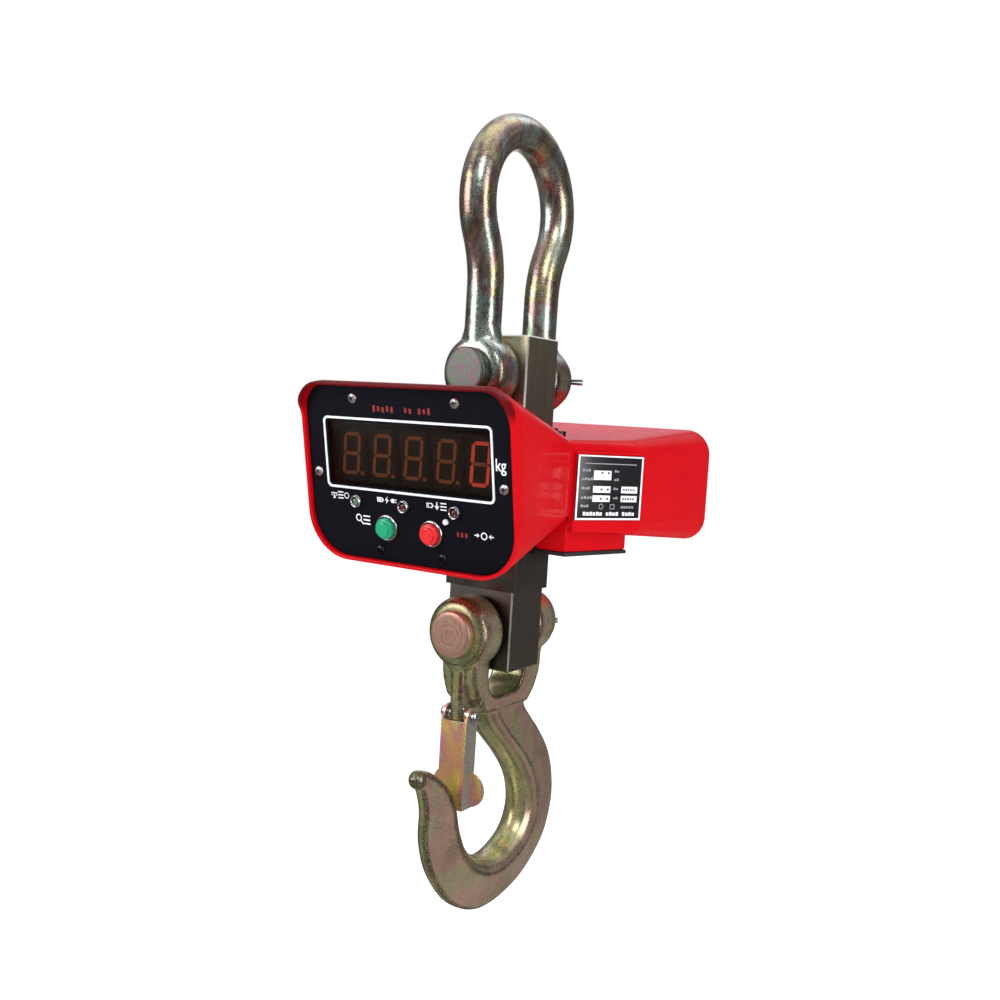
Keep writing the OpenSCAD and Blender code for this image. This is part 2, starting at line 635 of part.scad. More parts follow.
// Outline of one station: the fraction of the depth and of the half-width that each corner takes
hook_section = [[0, 0, 0], [0.05, 0.55, 0], [0.15, 0.88, 0], [0.27, 1, 0], [0.6, 0.55, 0.45], [0.95, 0, 1],
    [1, 0, 0.6], [1, 0, -0.6], [0.95, 0, -1], [0.6, -0.55, -0.45], [0.27, -1, 0], [0.15, -0.88, 0],
    [0.05, -0.55, 0]];
function hook_ring(s) = [for (c = hook_section)
    [c[1] * s[4] + c[2] * s[5], s[0] + (s[2] - s[0]) * c[0], s[1] + (s[3] - s[1]) * c[0]]];
fork_r = 24.5;            // half the width of the fork, which clears the load cell's end
latch_y = -38;
latch_z = lower_pin_z - 63;
module fork_profile() {
    difference() {
        polygon([[-51, 0], [-51, -14], [-44, -24], [-42, -36], [-34, -48], [-26, -60], [33, -62], [42, -52],
            [48, -40], [49, -26], [51, -14], [51, 0]]);
        polygon(rounded(-fork_r, -51.5, fork_r, 13, 18, 1));
    }
}
module hook() {
    color(steel) difference() {
        union() {
            translate([0, 0, lower_pin_z]) {
                skin([for (s = spline(hook_stations, 3)) hook_ring(s)]);
                translate([0, -86.5, -101.5]) sphere(r = 6.5);
                translate([-15, 0, 0]) rotate([90, 0, 90]) linear_extrude(30) fork_profile();
                // lug that carries the latch
                translate([-5, 0, 0]) rotate([90, 0, 90]) linear_extrude(10)
                    polygon([[-46, -20], [-45, -58], [-43, -67], [-38, -69], [-32, -67], [-22, -62],
                        [-27, -50], [-33, -30]]);
            }
            eye(lower_pin_z);
        }
        translate([0, 0, lower_pin_z]) ycyl(pin_d / 2 + fit, -70, 70);
        translate([0, latch_y, latch_z]) xcyl(3 + fit, 60);
    }
}
module hook_pin() { load_pin(lower_pin_z, -58.5); }
module hook_washer() { pin_washer(lower_pin_z); }
module hook_cotter() { cotter(lower_pin_z, 4.5); }

// Safety latch: a stamped channel with finger wings at its free end
latch_len = 70;
web_y = -46.2;
module latch() {
    color("#c2a85c") difference() {
        union() {
            // web
            block(-11.5, 11.5, web_y, web_y + 2, latch_z - latch_len, latch_z - 4);
            for (s = [0, 1]) mirror([s, 0, 0]) {
                // flange with a round ear at the hinge
                translate([9.5, 0, 0]) rotate([90, 0, 90]) linear_extrude(2) union() {
                    polygon([[web_y, latch_z - latch_len], [web_y + 12, latch_z - latch_len],
                        [web_y + 14, latch_z - 40], [latch_y + 6, latch_z], [web_y, latch_z]]);
                    translate([latch_y, latch_z]) circle(r = 7);
                }
                // wing
                translate([0, web_y + 12, 0]) rotate([90, 0, 0]) linear_extrude(2) intersection() {
                    translate([10, latch_z - 56]) circle(r = 13);
                    translate([10.5, latch_z - latch_len]) square([20, 40]);
                }
            }
        }
        translate([0, latch_y, latch_z]) xcyl(3 + fit, 60);
    }
}
module latch_pin() {
    color("#d0d0c8") translate([0, latch_y, latch_z]) {
        xcyl(3, 27);
        for (x = [-14.6, 14.6]) translate([x, 0, 0]) xcyl(4.6, 3);
    }
}
// Torsion spring: two pairs of coils on the pin, one pair beside each face of the lug
module latch_spring() {
    color("#d8d8d8") translate([0, latch_y, latch_z]) {
        for (s = [-1, 1]) for (i = [0:1]) translate([s * (6.2 + i * 1.7), 0, 0])
            rotate([0, 90, 0]) rotate_extrude() translate([4.2, 0]) circle(r = 0.75);
    }
}

shackle();
shackle_pin();
shackle_washer();
shackle_cotter();
load_cell();
gauge_covers();
top_seal();
bottom_collar();
cell_clamps();
clamp_screws();
front_hood();
rear_housing();
bottom_plate();
front_panel();
window_frame();
display_filter();
digit_1();
digit_2();
digit_3();
digit_4();
digit_5();
display_board();
main_board();
board_parts();
led_bezels();
stable_led();
charge_led();
low_battery_led();
ir_receiver();
view_button();
zero_button();
button_rings();
button_switches();
panel_screws();
nameplate();
cell_cable();
ribbon_cable();
battery();
battery_terminals();
battery_tray();
battery_cable();
rear_plate();
rear_screws();
battery_door();
door_pull();
door_hinge_pin();
charge_socket();
hook();
hook_pin();
hook_washer();
hook_cotter();
latch();
latch_pin();
latch_spring();
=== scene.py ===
"""Looks of the crane scale: detailed pieces, materials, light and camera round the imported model."""
import math
import random

import bmesh
import bpy
import numpy as np
from mathutils import Matrix, Vector


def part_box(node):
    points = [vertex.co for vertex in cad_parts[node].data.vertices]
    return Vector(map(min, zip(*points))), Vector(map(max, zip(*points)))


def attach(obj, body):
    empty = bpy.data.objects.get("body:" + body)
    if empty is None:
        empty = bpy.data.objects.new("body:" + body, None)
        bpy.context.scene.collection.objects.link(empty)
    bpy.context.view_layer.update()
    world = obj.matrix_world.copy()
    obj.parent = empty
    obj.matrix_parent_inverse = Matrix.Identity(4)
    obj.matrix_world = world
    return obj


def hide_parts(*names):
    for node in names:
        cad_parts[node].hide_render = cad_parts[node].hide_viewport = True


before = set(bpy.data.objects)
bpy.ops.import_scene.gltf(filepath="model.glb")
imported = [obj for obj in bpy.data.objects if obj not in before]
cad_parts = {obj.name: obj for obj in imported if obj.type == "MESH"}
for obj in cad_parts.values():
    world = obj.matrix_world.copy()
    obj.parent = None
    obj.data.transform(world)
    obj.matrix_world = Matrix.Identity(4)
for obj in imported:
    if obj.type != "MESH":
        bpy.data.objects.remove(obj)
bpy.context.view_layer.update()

MM = 0.001
UPPER_PIN, LOWER_PIN, WINDOW_Z = -167.0, -359.0, -230.0
PANEL_Y, HEAD_TILT = -121.1, math.radians(10.4)
ROOF_Z, BASE_Z = WINDOW_Z + 18, WINDOW_Z - 66
WAIST_Y, FLARE_Y, REAR_Y = 3.0, 62.0, 185.0
WAIST_HALF, FLARE_HALF, REAR_HALF = 60.0, 86.0, 90.0
PIN_R, EYE_GAP, BORE_GAP = 14.0, 0.1, 0.05
BAR_HALF, BAR_GAP = 29.0, 3.05
GAUGE_R, GAUGE_Z = 15.0, -263.0
LATCH_Y, LATCH_Z = -38.0, LOWER_PIN - 63
FLARE_TURN = math.atan2(FLARE_HALF - WAIST_HALF, FLARE_Y - WAIST_Y)
PAD = 2.0  # raised pad under the rating plate
PLATE_LOW, PLATE_HIGH = PAD + 0.05, PAD + 1.25
X_OUT = Matrix(((0, 0, 1, 0), (1, 0, 0, 0), (0, 1, 0, 0), (0, 0, 0, 1)))  # outline x, y, height to Y, Z, X


# --- mesh helpers: all lengths in millimetres in the part's frame ---
def polar(r, a, x=0.0, y=0.0):
    return (x + r * math.cos(a), y + r * math.sin(a))


def add_object(name, data):
    obj = bpy.data.objects.new(name, data)
    bpy.context.scene.collection.objects.link(obj)
    return obj


def make(name, verts, faces):
    mesh = bpy.data.meshes.new(name)
    mesh.from_pydata([tuple(c * MM for c in v) for v in verts], [], faces)
    mesh.update()
    obj = add_object(name, mesh)
    tidy(obj)
    return obj


def tidy(obj, merge=0.002):
    """Joins doubled points and turns every face outwards."""
    bm = bmesh.new()
    bm.from_mesh(obj.data)
    bmesh.ops.remove_doubles(bm, verts=bm.verts, dist=merge * MM)
    bmesh.ops.recalc_face_normals(bm, faces=bm.faces)
    bm.to_mesh(obj.data)
    bm.free()


def loft(name, rings, loop=False):
    """Skin over rings of points; a loop closes on its first ring, otherwise both ends get a cap."""
    n, m = len(rings[0]), len(rings)
    verts = [p for ring in rings for p in ring]
    faces = []
    for i in range(m if loop else m - 1):
        k = (i + 1) % m
        for j in range(n):
            faces.append((i * n + j, i * n + (j + 1) % n, k * n + (j + 1) % n, k * n + j))
    if not loop:
        faces.append(tuple(range(n - 1, -1, -1)))
        faces.append(tuple(range((m - 1) * n, m * n)))
    return make(name, verts, faces)


def lathe(name, profile, place=Matrix(), sides=48, loop=False):
    """Turns a profile of (radius, height) round the place's Z axis."""
    verts, faces, rows = [], [], []
    for r, h in profile:
        if r < 1e-6:
            rows.append([len(verts)])
            verts.append(place @ Vector((0, 0, h)))
            continue
        rows.append(list(range(len(verts), len(verts) + sides)))
        for j in range(sides):
            a = 2 * math.pi * j / sides
            verts.append(place @ Vector((*polar(r, a), h)))
    pairs = list(zip(rows, rows[1:]))
    if loop:
        pairs.append((rows[-1], rows[0]))
    for a, b in pairs:
        for j in range(sides):
            k = (j + 1) % sides
            face = [a[j % len(a)], b[j % len(b)], b[k % len(b)], a[k % len(a)]]
            face = list(dict.fromkeys(face))
            if len(face) > 2:
                faces.append(face)
    return make(name, verts, faces)


def cylinder(name, radius, low, high, place, sides):
    return lathe(name, [(0, low), (radius, low), (radius, high), (0, high)], place, sides)


def soft(points, radius, steps=4, closed=False):
    """A line of points with its corners rounded."""
    out = []
    points = [Vector(p) for p in points]
    for i, p in enumerate(points):
        if not closed and i in (0, len(points) - 1):
            out.append(p)
            continue
        a, b = points[i - 1] - p, points[(i + 1) % len(points)] - p
        cut = min(radius, a.length * 0.45, b.length * 0.45)
        start, end = p + a.normalized() * cut, p + b.normalized() * cut
        for k in range(steps + 1):
            t = k / steps
            out.append(start * (1 - t) ** 2 + p * 2 * t * (1 - t) + end * t * t)
    return out


def soft_flat(points, radius, steps, closed=False):
    """The same for a flat outline."""
    return [(p[0], p[1]) for p in soft([(x, y, 0) for x, y in points], radius, steps, closed)]


def tube(name, points, radius, sides=12):
    """Round tube along points, with rounded ends."""
    points = [Vector(p) for p in points]
    side = None
    rings = []
    for i, p in enumerate(points):
        t = (points[min(i + 1, len(points) - 1)] - points[max(i - 1, 0)]).normalized()
        if side is None:
            side = t.cross(Vector((0.3, 0.2, 1)) if abs(t.z) < 0.8 else Vector((1, 0.2, 0)))
        side = (side - t * side.dot(t)).normalized()
        other = t.cross(side)
        spokes = [side * math.cos(2 * math.pi * k / sides) + other * math.sin(2 * math.pi * k / sides)
                  for k in range(sides)]
        ends = {0: -1, len(points) - 1: 1}
        shifts = [(1, 0)]
        if i in ends:
            shifts = [(1, 0), (0.8, 0.45), (0.35, 0.85)][::ends[i]]
        for share, out in shifts:
            centre = p + t * out * radius * ends.get(i, 0)
            rings.append([centre + s * radius * share for s in spokes])
    return loft(name, rings)


def spline(points, steps):
    """Catmull-Rom curve through points of any dimension."""
    pts = np.array(points, float)
    out = []
    for i in range(len(pts) - 1):
        a, b, c, d = pts[max(i - 1, 0)], pts[i], pts[i + 1], pts[min(i + 2, len(pts) - 1)]
        for k in range(steps):
            t = k / steps
            out.append(0.5 * (2 * b + (c - a) * t + (2 * a - 5 * b + 4 * c - d) * t * t
                              + (3 * b - a - 3 * c + d) * t ** 3))
    out.append(pts[-1])
    return out


def prism(name, outline, low, high, place=Matrix()):
    """Outline of (x, y) between two heights of the place's frame."""
    n = len(outline)
    verts = [place @ Vector((p[0], p[1], h)) for h in (low, high) for p in outline]
    faces = [tuple(range(n - 1, -1, -1)), tuple(range(n, 2 * n))]
    faces += [(i, (i + 1) % n, n + (i + 1) % n, n + i) for i in range(n)]
    return make(name, verts, faces)


def box_mesh(name, x0, x1, y0, y1, z0, z1, place=Matrix()):
    return prism(name, [(x0, y0), (x1, y0), (x1, y1), (x0, y1)], z0, z1, place)


def settle(obj):
    """Applies the object's modifiers."""
    bpy.context.view_layer.update()
    graph = bpy.context.evaluated_depsgraph_get()
    mesh = bpy.data.meshes.new_from_object(obj.evaluated_get(graph))
    obj.modifiers.clear()
    obj.data = mesh
    return obj


def cut(obj, tool, operation="DIFFERENCE"):
    mod = obj.modifiers.new("cut", "BOOLEAN")
    mod.operation = operation
    mod.solver = "EXACT"
    mod.object = tool
    settle(obj)
    bpy.data.objects.remove(tool)
    return obj


def bevel(obj, width, segments=3, angle=32):
    mod = obj.modifiers.new("bevel", "BEVEL")
    mod.width = width * MM
    mod.segments = segments
    mod.limit_method = "ANGLE"
    mod.angle_limit = math.radians(angle)
    mod.use_clamp_overlap = True
    return settle(obj)


def shade(obj, angle=34):
    """Smooth faces, with hard edges where the faces meet at more than the angle."""
    bm = bmesh.new()
    bm.from_mesh(obj.data)
    limit = math.radians(angle)
    for face in bm.faces:
        face.smooth = True
    for edge in bm.edges:
        edge.smooth = edge.is_manifold and edge.calc_face_angle(0) < limit
    bm.to_mesh(obj.data)
    bm.free()
    return obj


def join(name, objs):
    target = objs[0]
    with bpy.context.temp_override(active_object=target, selected_editable_objects=objs, object=target,
                                   selected_objects=objs):
        bpy.ops.object.join()
    target.name = name
    return target


def forge(obj, voxel, passes):
    """One closed skin over overlapping solids, with its edges worn round like a forging's."""
    mod = obj.modifiers.new("skin", "REMESH")
    mod.mode = "VOXEL"
    mod.voxel_size = voxel * MM
    settle(obj)
    mod = obj.modifiers.new("soften", "SMOOTH")
    mod.factor = 0.5
    mod.iterations = passes
    return settle(obj)


def edge_arrays(obj):
    mesh = obj.data
    co = np.zeros(len(mesh.vertices) * 3)
    mesh.vertices.foreach_get("co", co)
    normal = np.zeros(len(mesh.vertices) * 3)
    mesh.vertices.foreach_get("normal", normal)
    ends = np.zeros(len(mesh.edges) * 2, int)
    mesh.edges.foreach_get("vertices", ends)
    return co.reshape(-1, 3), normal.reshape(-1, 3), ends.reshape(-1, 2)


def mark(obj, name, values):
    attribute = obj.data.attributes.new(name, "FLOAT", "POINT")
    attribute.data.foreach_set("value", np.asarray(values, np.float32))


def mark_edges(obj, gain, passes=2):
    """Curvature attribute: above 0.5 on outward edges, below 0.5 in hollows, where the forged zinc takes
    painted shade.
    """
    co, normal, ends = edge_arrays(obj)
    a, b = ends[:, 0], ends[:, 1]
    d = co[b] - co[a]
    length = np.linalg.norm(d, axis=1) + 1e-12
    count = np.bincount(np.concatenate([a, b]), minlength=len(co))
    bend = (np.bincount(a, -(d * normal[a]).sum(1) / length ** 2 * MM, len(co))
            + np.bincount(b, (d * normal[b]).sum(1) / length ** 2 * MM, len(co))) / np.maximum(count, 1)
    for _ in range(passes):
        bend = (bend + (np.bincount(a, bend[b], len(co)) + np.bincount(b, bend[a], len(co)))
                / np.maximum(count, 1)) / 2
    mark(obj, "edge_grain_and_hollow_shade", np.clip(0.5 + bend * gain, 0, 1))


def mark_flanks(obj):
    """Attribute flank: 1 where the surface faces sideways along X, 0 where it turns away."""
    normal = edge_arrays(obj)[1]
    share = np.clip((np.abs(normal[:, 0]) - 0.55) / 0.35, 0, 1)
    mark(obj, "flank", share * share * (3 - 2 * share))


def put(obj, body, material, slot, *nodes, angle=34):
    """Finishes a piece: shading, material, the body it rides on and the nodes it stands for."""
    shade(obj, angle)
    if material is not None:
        obj.data.materials.clear()
        obj.data.materials.append(material)
    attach(obj, body)
    if nodes:
        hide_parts(*nodes)
    return obj


def copy_node(node, name=None):
    """A piece of its own with a CAD node's shape, to be rounded and finished."""
    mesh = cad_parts[node].data.copy()
    obj = add_object(name or node + "_piece", mesh)
    tidy(obj)
    bm = bmesh.new()
    bm.from_mesh(mesh)
    bmesh.ops.dissolve_limit(bm, angle_limit=math.radians(1.0), verts=bm.verts, edges=bm.edges)
    bm.to_mesh(mesh)
    bm.free()
    return obj


def along_y(x, z, facing=-1):
    """Frame on an axis along Y: its Z points to the front (-1) or to the back (1)."""
    turn = Matrix.Rotation(math.radians(90) * -facing, 4, "X")
    return Matrix.Translation((x, 0, z)) @ turn


def along_x(y, z):
    return Matrix.Translation((0, y, z)) @ Matrix.Rotation(math.radians(90), 4, "Y")


def on_panel(u=0, v=0, n=0):
    """Frame on the display panel: x to the right, y up the panel, z out of it."""
    base = Matrix.Translation((0, PANEL_Y, WINDOW_Z)) @ Matrix.Rotation(math.radians(90) + HEAD_TILT, 4, "X")
    return base @ Matrix.Translation((u, v, n))


def on_flare(height=0.0):
    """Frame on the right flank: x back along the flank, y up, z out of it."""
    base = Matrix.Translation((WAIST_HALF, WAIST_Y, WINDOW_Z)) @ Matrix.Rotation(-FLARE_TURN, 4, "Z")
    return base @ X_OUT @ Matrix.Translation((0, 0, height))


def rect(x0, y0, x1, y1):
    return [(x0, y0), (x1, y0), (x1, y1), (x0, y1)]


# --- material helpers ---
def new_node(tree, kind, **values):
    """A shader node with values for its inputs; an underscore in a name stands for a space."""
    node = tree.nodes.new(kind)
    for key, value in values.items():
        node.inputs[key.replace("_", " ")].default_value = value
    return node


def set_stops(spots, stops):
    """Stops of a colour ramp: (place, colour) or (place, grey value)."""
    while len(spots) < len(stops):
        spots.new(0.5)
    for spot, (at, color) in zip(spots, stops):
        spot.position = at
        spot.color = (*color, 1) if isinstance(color, tuple) else (color, color, color, 1)


INPUTS = {"color": "Base Color", "metal": "Metallic", "rough": "Roughness", "spec": "Specular IOR Level",
          "coat": "Coat Weight", "coat_rough": "Coat Roughness", "alpha": "Alpha",
          "glow": "Emission Strength", "glow_color": "Emission Color"}


class Paint:
    """A Principled material and short calls for the nodes that feed it."""

    def __init__(self, name, color, **values):
        self.material = bpy.data.materials.new(name)
        self.material.use_nodes = True
        self.tree = self.material.node_tree
        self.shader = self.tree.nodes["Principled BSDF"]
        self.material.diffuse_color = (*color, 1)
        self.set("color", (*color, 1))
        for key, value in values.items():
            self.set(key, (*value, 1) if key == "glow_color" else value)
        self.coords = self.add("ShaderNodeTexCoord").outputs["Object"]

    def add(self, kind, **inputs):
        return new_node(self.tree, kind, **inputs)

    def link(self, a, b):
        self.tree.links.new(a, b)

    def set(self, key, value):
        self.shader.inputs[INPUTS[key]].default_value = value

    def feed(self, key, output):
        self.link(output, self.shader.inputs[INPUTS[key]])

    def stretch(self, x, y, z, shift=(0, 0, 0)):
        n = self.add("ShaderNodeMapping", Scale=(x, y, z), Location=shift)
        self.link(self.coords, n.inputs["Vector"])
        return n.outputs[0]

    def noise(self, scale, detail=2.0, rough=0.5, distort=0.0, vector=None):
        n = self.add("ShaderNodeTexNoise", Scale=scale, Detail=detail, Roughness=rough, Distortion=distort)
        self.link(vector or self.coords, n.inputs["Vector"])
        return n.outputs[0]

    def ramp(self, value, stops, smooth=False):
        n = self.add("ShaderNodeValToRGB")
        n.color_ramp.interpolation = "EASE" if smooth else "LINEAR"
        set_stops(n.color_ramp.elements, stops)
        self.link(value, n.inputs[0])
        return n.outputs[0]

    def mix(self, factor, a, b, blend="MIX"):
        n = self.add("ShaderNodeMix")
        n.data_type = "RGBA"
        n.blend_type = blend
        for socket, value in ((n.inputs[0], factor), (n.inputs[6], a), (n.inputs[7], b)):
            if isinstance(value, bpy.types.NodeSocket):
                self.link(value, socket)
            else:
                socket.default_value = value if socket == n.inputs[0] else (*value, 1)
        return n.outputs[2]

    def math(self, operation, a, b=0.0):
        n = self.add("ShaderNodeMath")
        n.operation = operation
        for socket, value in zip(n.inputs, (a, b)):
            if isinstance(value, bpy.types.NodeSocket):
                self.link(value, socket)
            else:
                socket.default_value = value
        return n.outputs[0]

    def scaled(self, value, share):
        return self.math("MULTIPLY", value, share)

    def attribute(self, name):
        n = self.add("ShaderNodeAttribute")
        n.attribute_name = name
        return n.outputs["Fac"]

    def bump(self, height, strength, depth):
        """Bump with its depth in millimetres."""
        n = self.add("ShaderNodeBump", Strength=strength, Distance=depth * MM)
        self.link(height, n.inputs["Height"])
        self.link(n.outputs[0], self.shader.inputs["Normal"])

    def height(self):
        """Height above a metre under the origin, so that it stays positive."""
        n = self.add("ShaderNodeSeparateXYZ")
        self.link(self.coords, n.inputs[0])
        return self.math("ADD", n.outputs[2], 1.0)

    def radius(self, z):
        """Distance in metres from the line along Y at height z."""
        n = self.add("ShaderNodeVectorMath")
        n.operation = "MULTIPLY_ADD"
        n.inputs[1].default_value = (1, 0, 1)
        n.inputs[2].default_value = (0, 0, -z * MM)
        self.link(self.coords, n.inputs[0])
        length = self.add("ShaderNodeVectorMath")
        length.operation = "LENGTH"
        self.link(n.outputs[0], length.inputs[0])
        return length.outputs["Value"]


def zinc(name, patches, shift, rough=(0.20, 0.36), grain=0.5, metal=0.85, flank=None):
    """Yellow zinc over forged steel: drifting tints, a dark grain that gathers along edges, and painted shade
    that darkens the hollows.
    """
    p = Paint(name, patches[1], metal=metal)
    drift = p.noise(24, 3.0, 0.55, 1.6, p.stretch(1, 1, 0.55, shift=shift))
    tint = p.ramp(drift, [(0.30, patches[0]), (0.42, patches[1]), (0.50, patches[2]), (0.58, patches[3]),
                          (0.68, patches[1])], smooth=True)
    if flank is not None:
        side = p.ramp(drift, [(0.32, flank[0]), (0.48, flank[1]), (0.60, flank[2])], smooth=True)
        tint = p.mix(p.attribute("flank"), tint, side)
    fine = p.noise(1050, 3.0, 0.65)
    where = p.noise(60, 2.0, 0.5)
    speck = p.math("ADD", fine, p.scaled(where, 0.35))
    pepper = p.ramp(speck, [(0.54, 0.50), (0.68, 1.0)])
    color = p.mix(grain, tint, pepper, "MULTIPLY")
    edge_grain_and_hollow_shade = p.attribute("edge_grain_and_hollow_shade")
    edge = p.ramp(edge_grain_and_hollow_shade, [(0.52, 0.0), (0.60, 1.0)])
    # the hollows are darkened: painted shade
    dark = p.ramp(edge_grain_and_hollow_shade, [(0.30, 1.0), (0.46, 0.0)])
    # the dark grain on outward edges
    dark_grain_and_recess_shade = p.math("MULTIPLY", edge, p.ramp(speck, [(0.66, 1.0), (0.78, 0.30)]))
    color = p.mix(p.scaled(dark_grain_and_recess_shade, 0.85), color, (0.05, 0.045, 0.03))
    color = p.mix(p.scaled(dark, 0.7), color, (0.09, 0.075, 0.05))
    p.feed("color", color)
    p.feed("rough", p.ramp(p.math("ADD", p.scaled(fine, 0.6), p.scaled(where, 0.5)),
                           [(0.40, rough[0]), (0.70, rough[1])]))
    p.bump(p.math("ADD", p.scaled(fine, 0.6), p.noise(330, 2.0)), 0.5, 0.16)
    return p.material


def turned(name, z, patches, ring=0.0, metal=0.65, rough=(0.30, 0.46)):
    """Zinc on a turned pin: concentric tool rings round the pin's axis."""
    p = Paint(name, patches[0], metal=metal)
    r = p.radius(z)
    wave = p.math("SINE", p.scaled(r, 5200.0))
    slow = p.math("SINE", p.scaled(r, 1500.0))
    drift = p.noise(55, 3.0, 0.6, 2.2)
    blend = p.math("ADD", drift, p.scaled(slow, 0.05 + ring))
    p.feed("color", p.ramp(blend, list(zip((0.34, 0.46, 0.54, 0.64), patches)), smooth=True))
    p.feed("rough", p.ramp(p.noise(900, 2.0), [(0.35, rough[0]), (0.65, rough[1])]))
    p.bump(p.math("ADD", p.scaled(wave, 0.5), p.noise(1200, 2.0)), 0.30, 0.05)
    return p.material


def pressed(name, patches):
    """Thin bright zinc on sheet steel: broad soft bands of colour down its front, duller flanks."""
    p = Paint(name, patches[0], metal=0.7)
    drift = p.noise(60, 1.5, 0.5, 0.8, p.stretch(1, 1, 0.45))
    color = p.ramp(drift, [(0.26, patches[0]), (0.38, patches[1]), (0.50, patches[2]), (0.60, patches[3]),
                           (0.72, patches[1])], smooth=True)
    p.feed("color", p.mix(p.attribute("flank"), color, (0.36, 0.345, 0.295)))
    p.feed("rough", p.ramp(p.noise(700, 2.0), [(0.35, 0.20), (0.65, 0.32)]))
    p.bump(p.noise(900, 2.0), 0.1, 0.03)
    return p.material


def tones(color, spread):
    return tuple(c * (1 - spread) for c in color), tuple(min(1, c * (1 + spread)) for c in color)


def brushed(name, color, rough, lines=(1400, 1400, 22), depth=0.05, spread=0.25, metal=1.0, painted_reflection=None):
    """Ground or drawn metal with fine lines; between the two heights of the optional band it turns to the
    band's tint, a painted reflection.
    """
    p = Paint(name, color, metal=metal)
    streak = p.noise(1.0, 3.0, 0.6, 0.0, p.stretch(*lines))
    cloud = p.noise(35, 3.0, 0.55, 0.8)
    low, high = tones(color, spread)
    tone = p.mix(0.5, p.ramp(streak, [(0.3, low), (0.7, high)]), p.ramp(cloud, [(0.3, low), (0.7, high)]))
    if painted_reflection is not None:
        # painted reflection: a lighter tint over a band of heights
        tone = p.mix(p.ramp(p.height(), [(painted_reflection[0], 0.0), (painted_reflection[1], 1.0)]), tone, painted_reflection[2])
    p.feed("color", tone)
    p.feed("rough", p.ramp(streak, [(0.3, rough * 0.8), (0.7, rough * 1.25)]))
    p.bump(streak, 0.3, depth)
    return p.material


def plastic(name, color, rough=0.5, grain=900, depth=0.05, coat=0.0, spec=0.5, spread=0.12, lip=None, **more):
    """Moulded or painted surface with a faint drift and a fine texture; the optional tint is painted shade,
    laid on the marked points.
    """
    p = Paint(name, color, rough=rough, coat=coat, spec=spec, **more)
    low, high = tones(color, spread)
    tone = p.ramp(p.noise(24, 3.0, 0.55, 0.5), [(0.3, low), (0.7, high)])
    p.feed("color", tone if lip is None else p.mix(p.attribute("lip"), tone, lip))
    fine = p.noise(grain, 2.0, 0.55)
    p.feed("rough", p.ramp(fine, [(0.3, rough * 0.85), (0.7, min(1, rough * 1.15))]))
    p.bump(fine, 0.4, depth)
    return p.material


OLIVE, GOLD, ROSE, SILVER = (0.22, 0.26, 0.17), (0.50, 0.43, 0.24), (0.40, 0.26, 0.24), (0.46, 0.54, 0.48)
MAUVE, GREEN = (0.13, 0.075, 0.095), (0.075, 0.12, 0.075)
forged_top = zinc("zinc_forged_bow", (OLIVE, SILVER, ROSE, GOLD), (0.3, 0.1, 0.2), (0.18, 0.34), 0.85, 0.96)
forged_hook = zinc("zinc_forged_hook", ((0.34, 0.37, 0.20), (0.60, 0.54, 0.26), (0.44, 0.50, 0.26), GOLD),
                   (1.3, 2.1, 0.7), metal=0.82, grain=0.7,
                   flank=((0.54, 0.39, 0.28), (0.62, 0.40, 0.32), (0.50, 0.46, 0.28)))
pin_top = turned("zinc_turned_upper", UPPER_PIN, (MAUVE, (0.11, 0.09, 0.10), GREEN, MAUVE), metal=0.9)
pin_low = turned("zinc_turned_lower", LOWER_PIN, ((0.50, 0.22, 0.24), (0.60, 0.32, 0.26), (0.44, 0.40, 0.18),
                                                  (0.54, 0.26, 0.26)), 0.05, 0.8)
latch_zinc = pressed("zinc_pressed", ((0.46, 0.56, 0.18), (0.82, 0.62, 0.20), (0.84, 0.44, 0.22),
                                      (0.76, 0.36, 0.36)))
plain_steel = brushed("steel_plain", (0.50, 0.49, 0.47), 0.34)
# lighter steel for the load cell's bevelled edges: painted highlight
edge_highlight_steel = brushed("steel_painted_edge_highlight", (0.78, 0.76, 0.72), 0.26, depth=0.02)
GROUND = {"rough": 0.38, "lines": (700, 700, 14), "spread": 0.16}
# dark nickel steel of the load cell, turning a lighter gold near the top of the bar: painted reflection
cell_steel = brushed("steel_dark_nickel", (0.155, 0.145, 0.135), painted_reflection=(0.74, 0.87, (0.86, 0.74, 0.52)),
                     **GROUND)
# a lighter copy of the dark nickel for the bar's side faces: painted side light, with a weaker painted
# reflection near the top
cell_lit_side = brushed("steel_dark_nickel_lit_side", (0.19, 0.17, 0.15), painted_reflection=(0.74, 0.88, (0.33, 0.285, 0.20)),
                     **GROUND)
black_screw = brushed("steel_black_oxide", (0.045, 0.045, 0.05), 0.33)
chrome = brushed("chrome", (0.66, 0.66, 0.68), 0.12, depth=0.01, spread=0.05)
screw_steel = brushed("steel_screw", (0.85, 0.84, 0.82), 0.36, (900, 900, 900))
brass = brushed("brass_tab", (0.70, 0.52, 0.24), 0.3)
RED = {"color": (0.55, 0.0015, 0.006), "rough": 0.42, "grain": 240, "depth": 0.012, "coat": 0.14,
       "coat_rough": 0.08, "spec": 0.04, "spread": 0.05}
red_paint = plastic("paint_red_gloss", **RED)
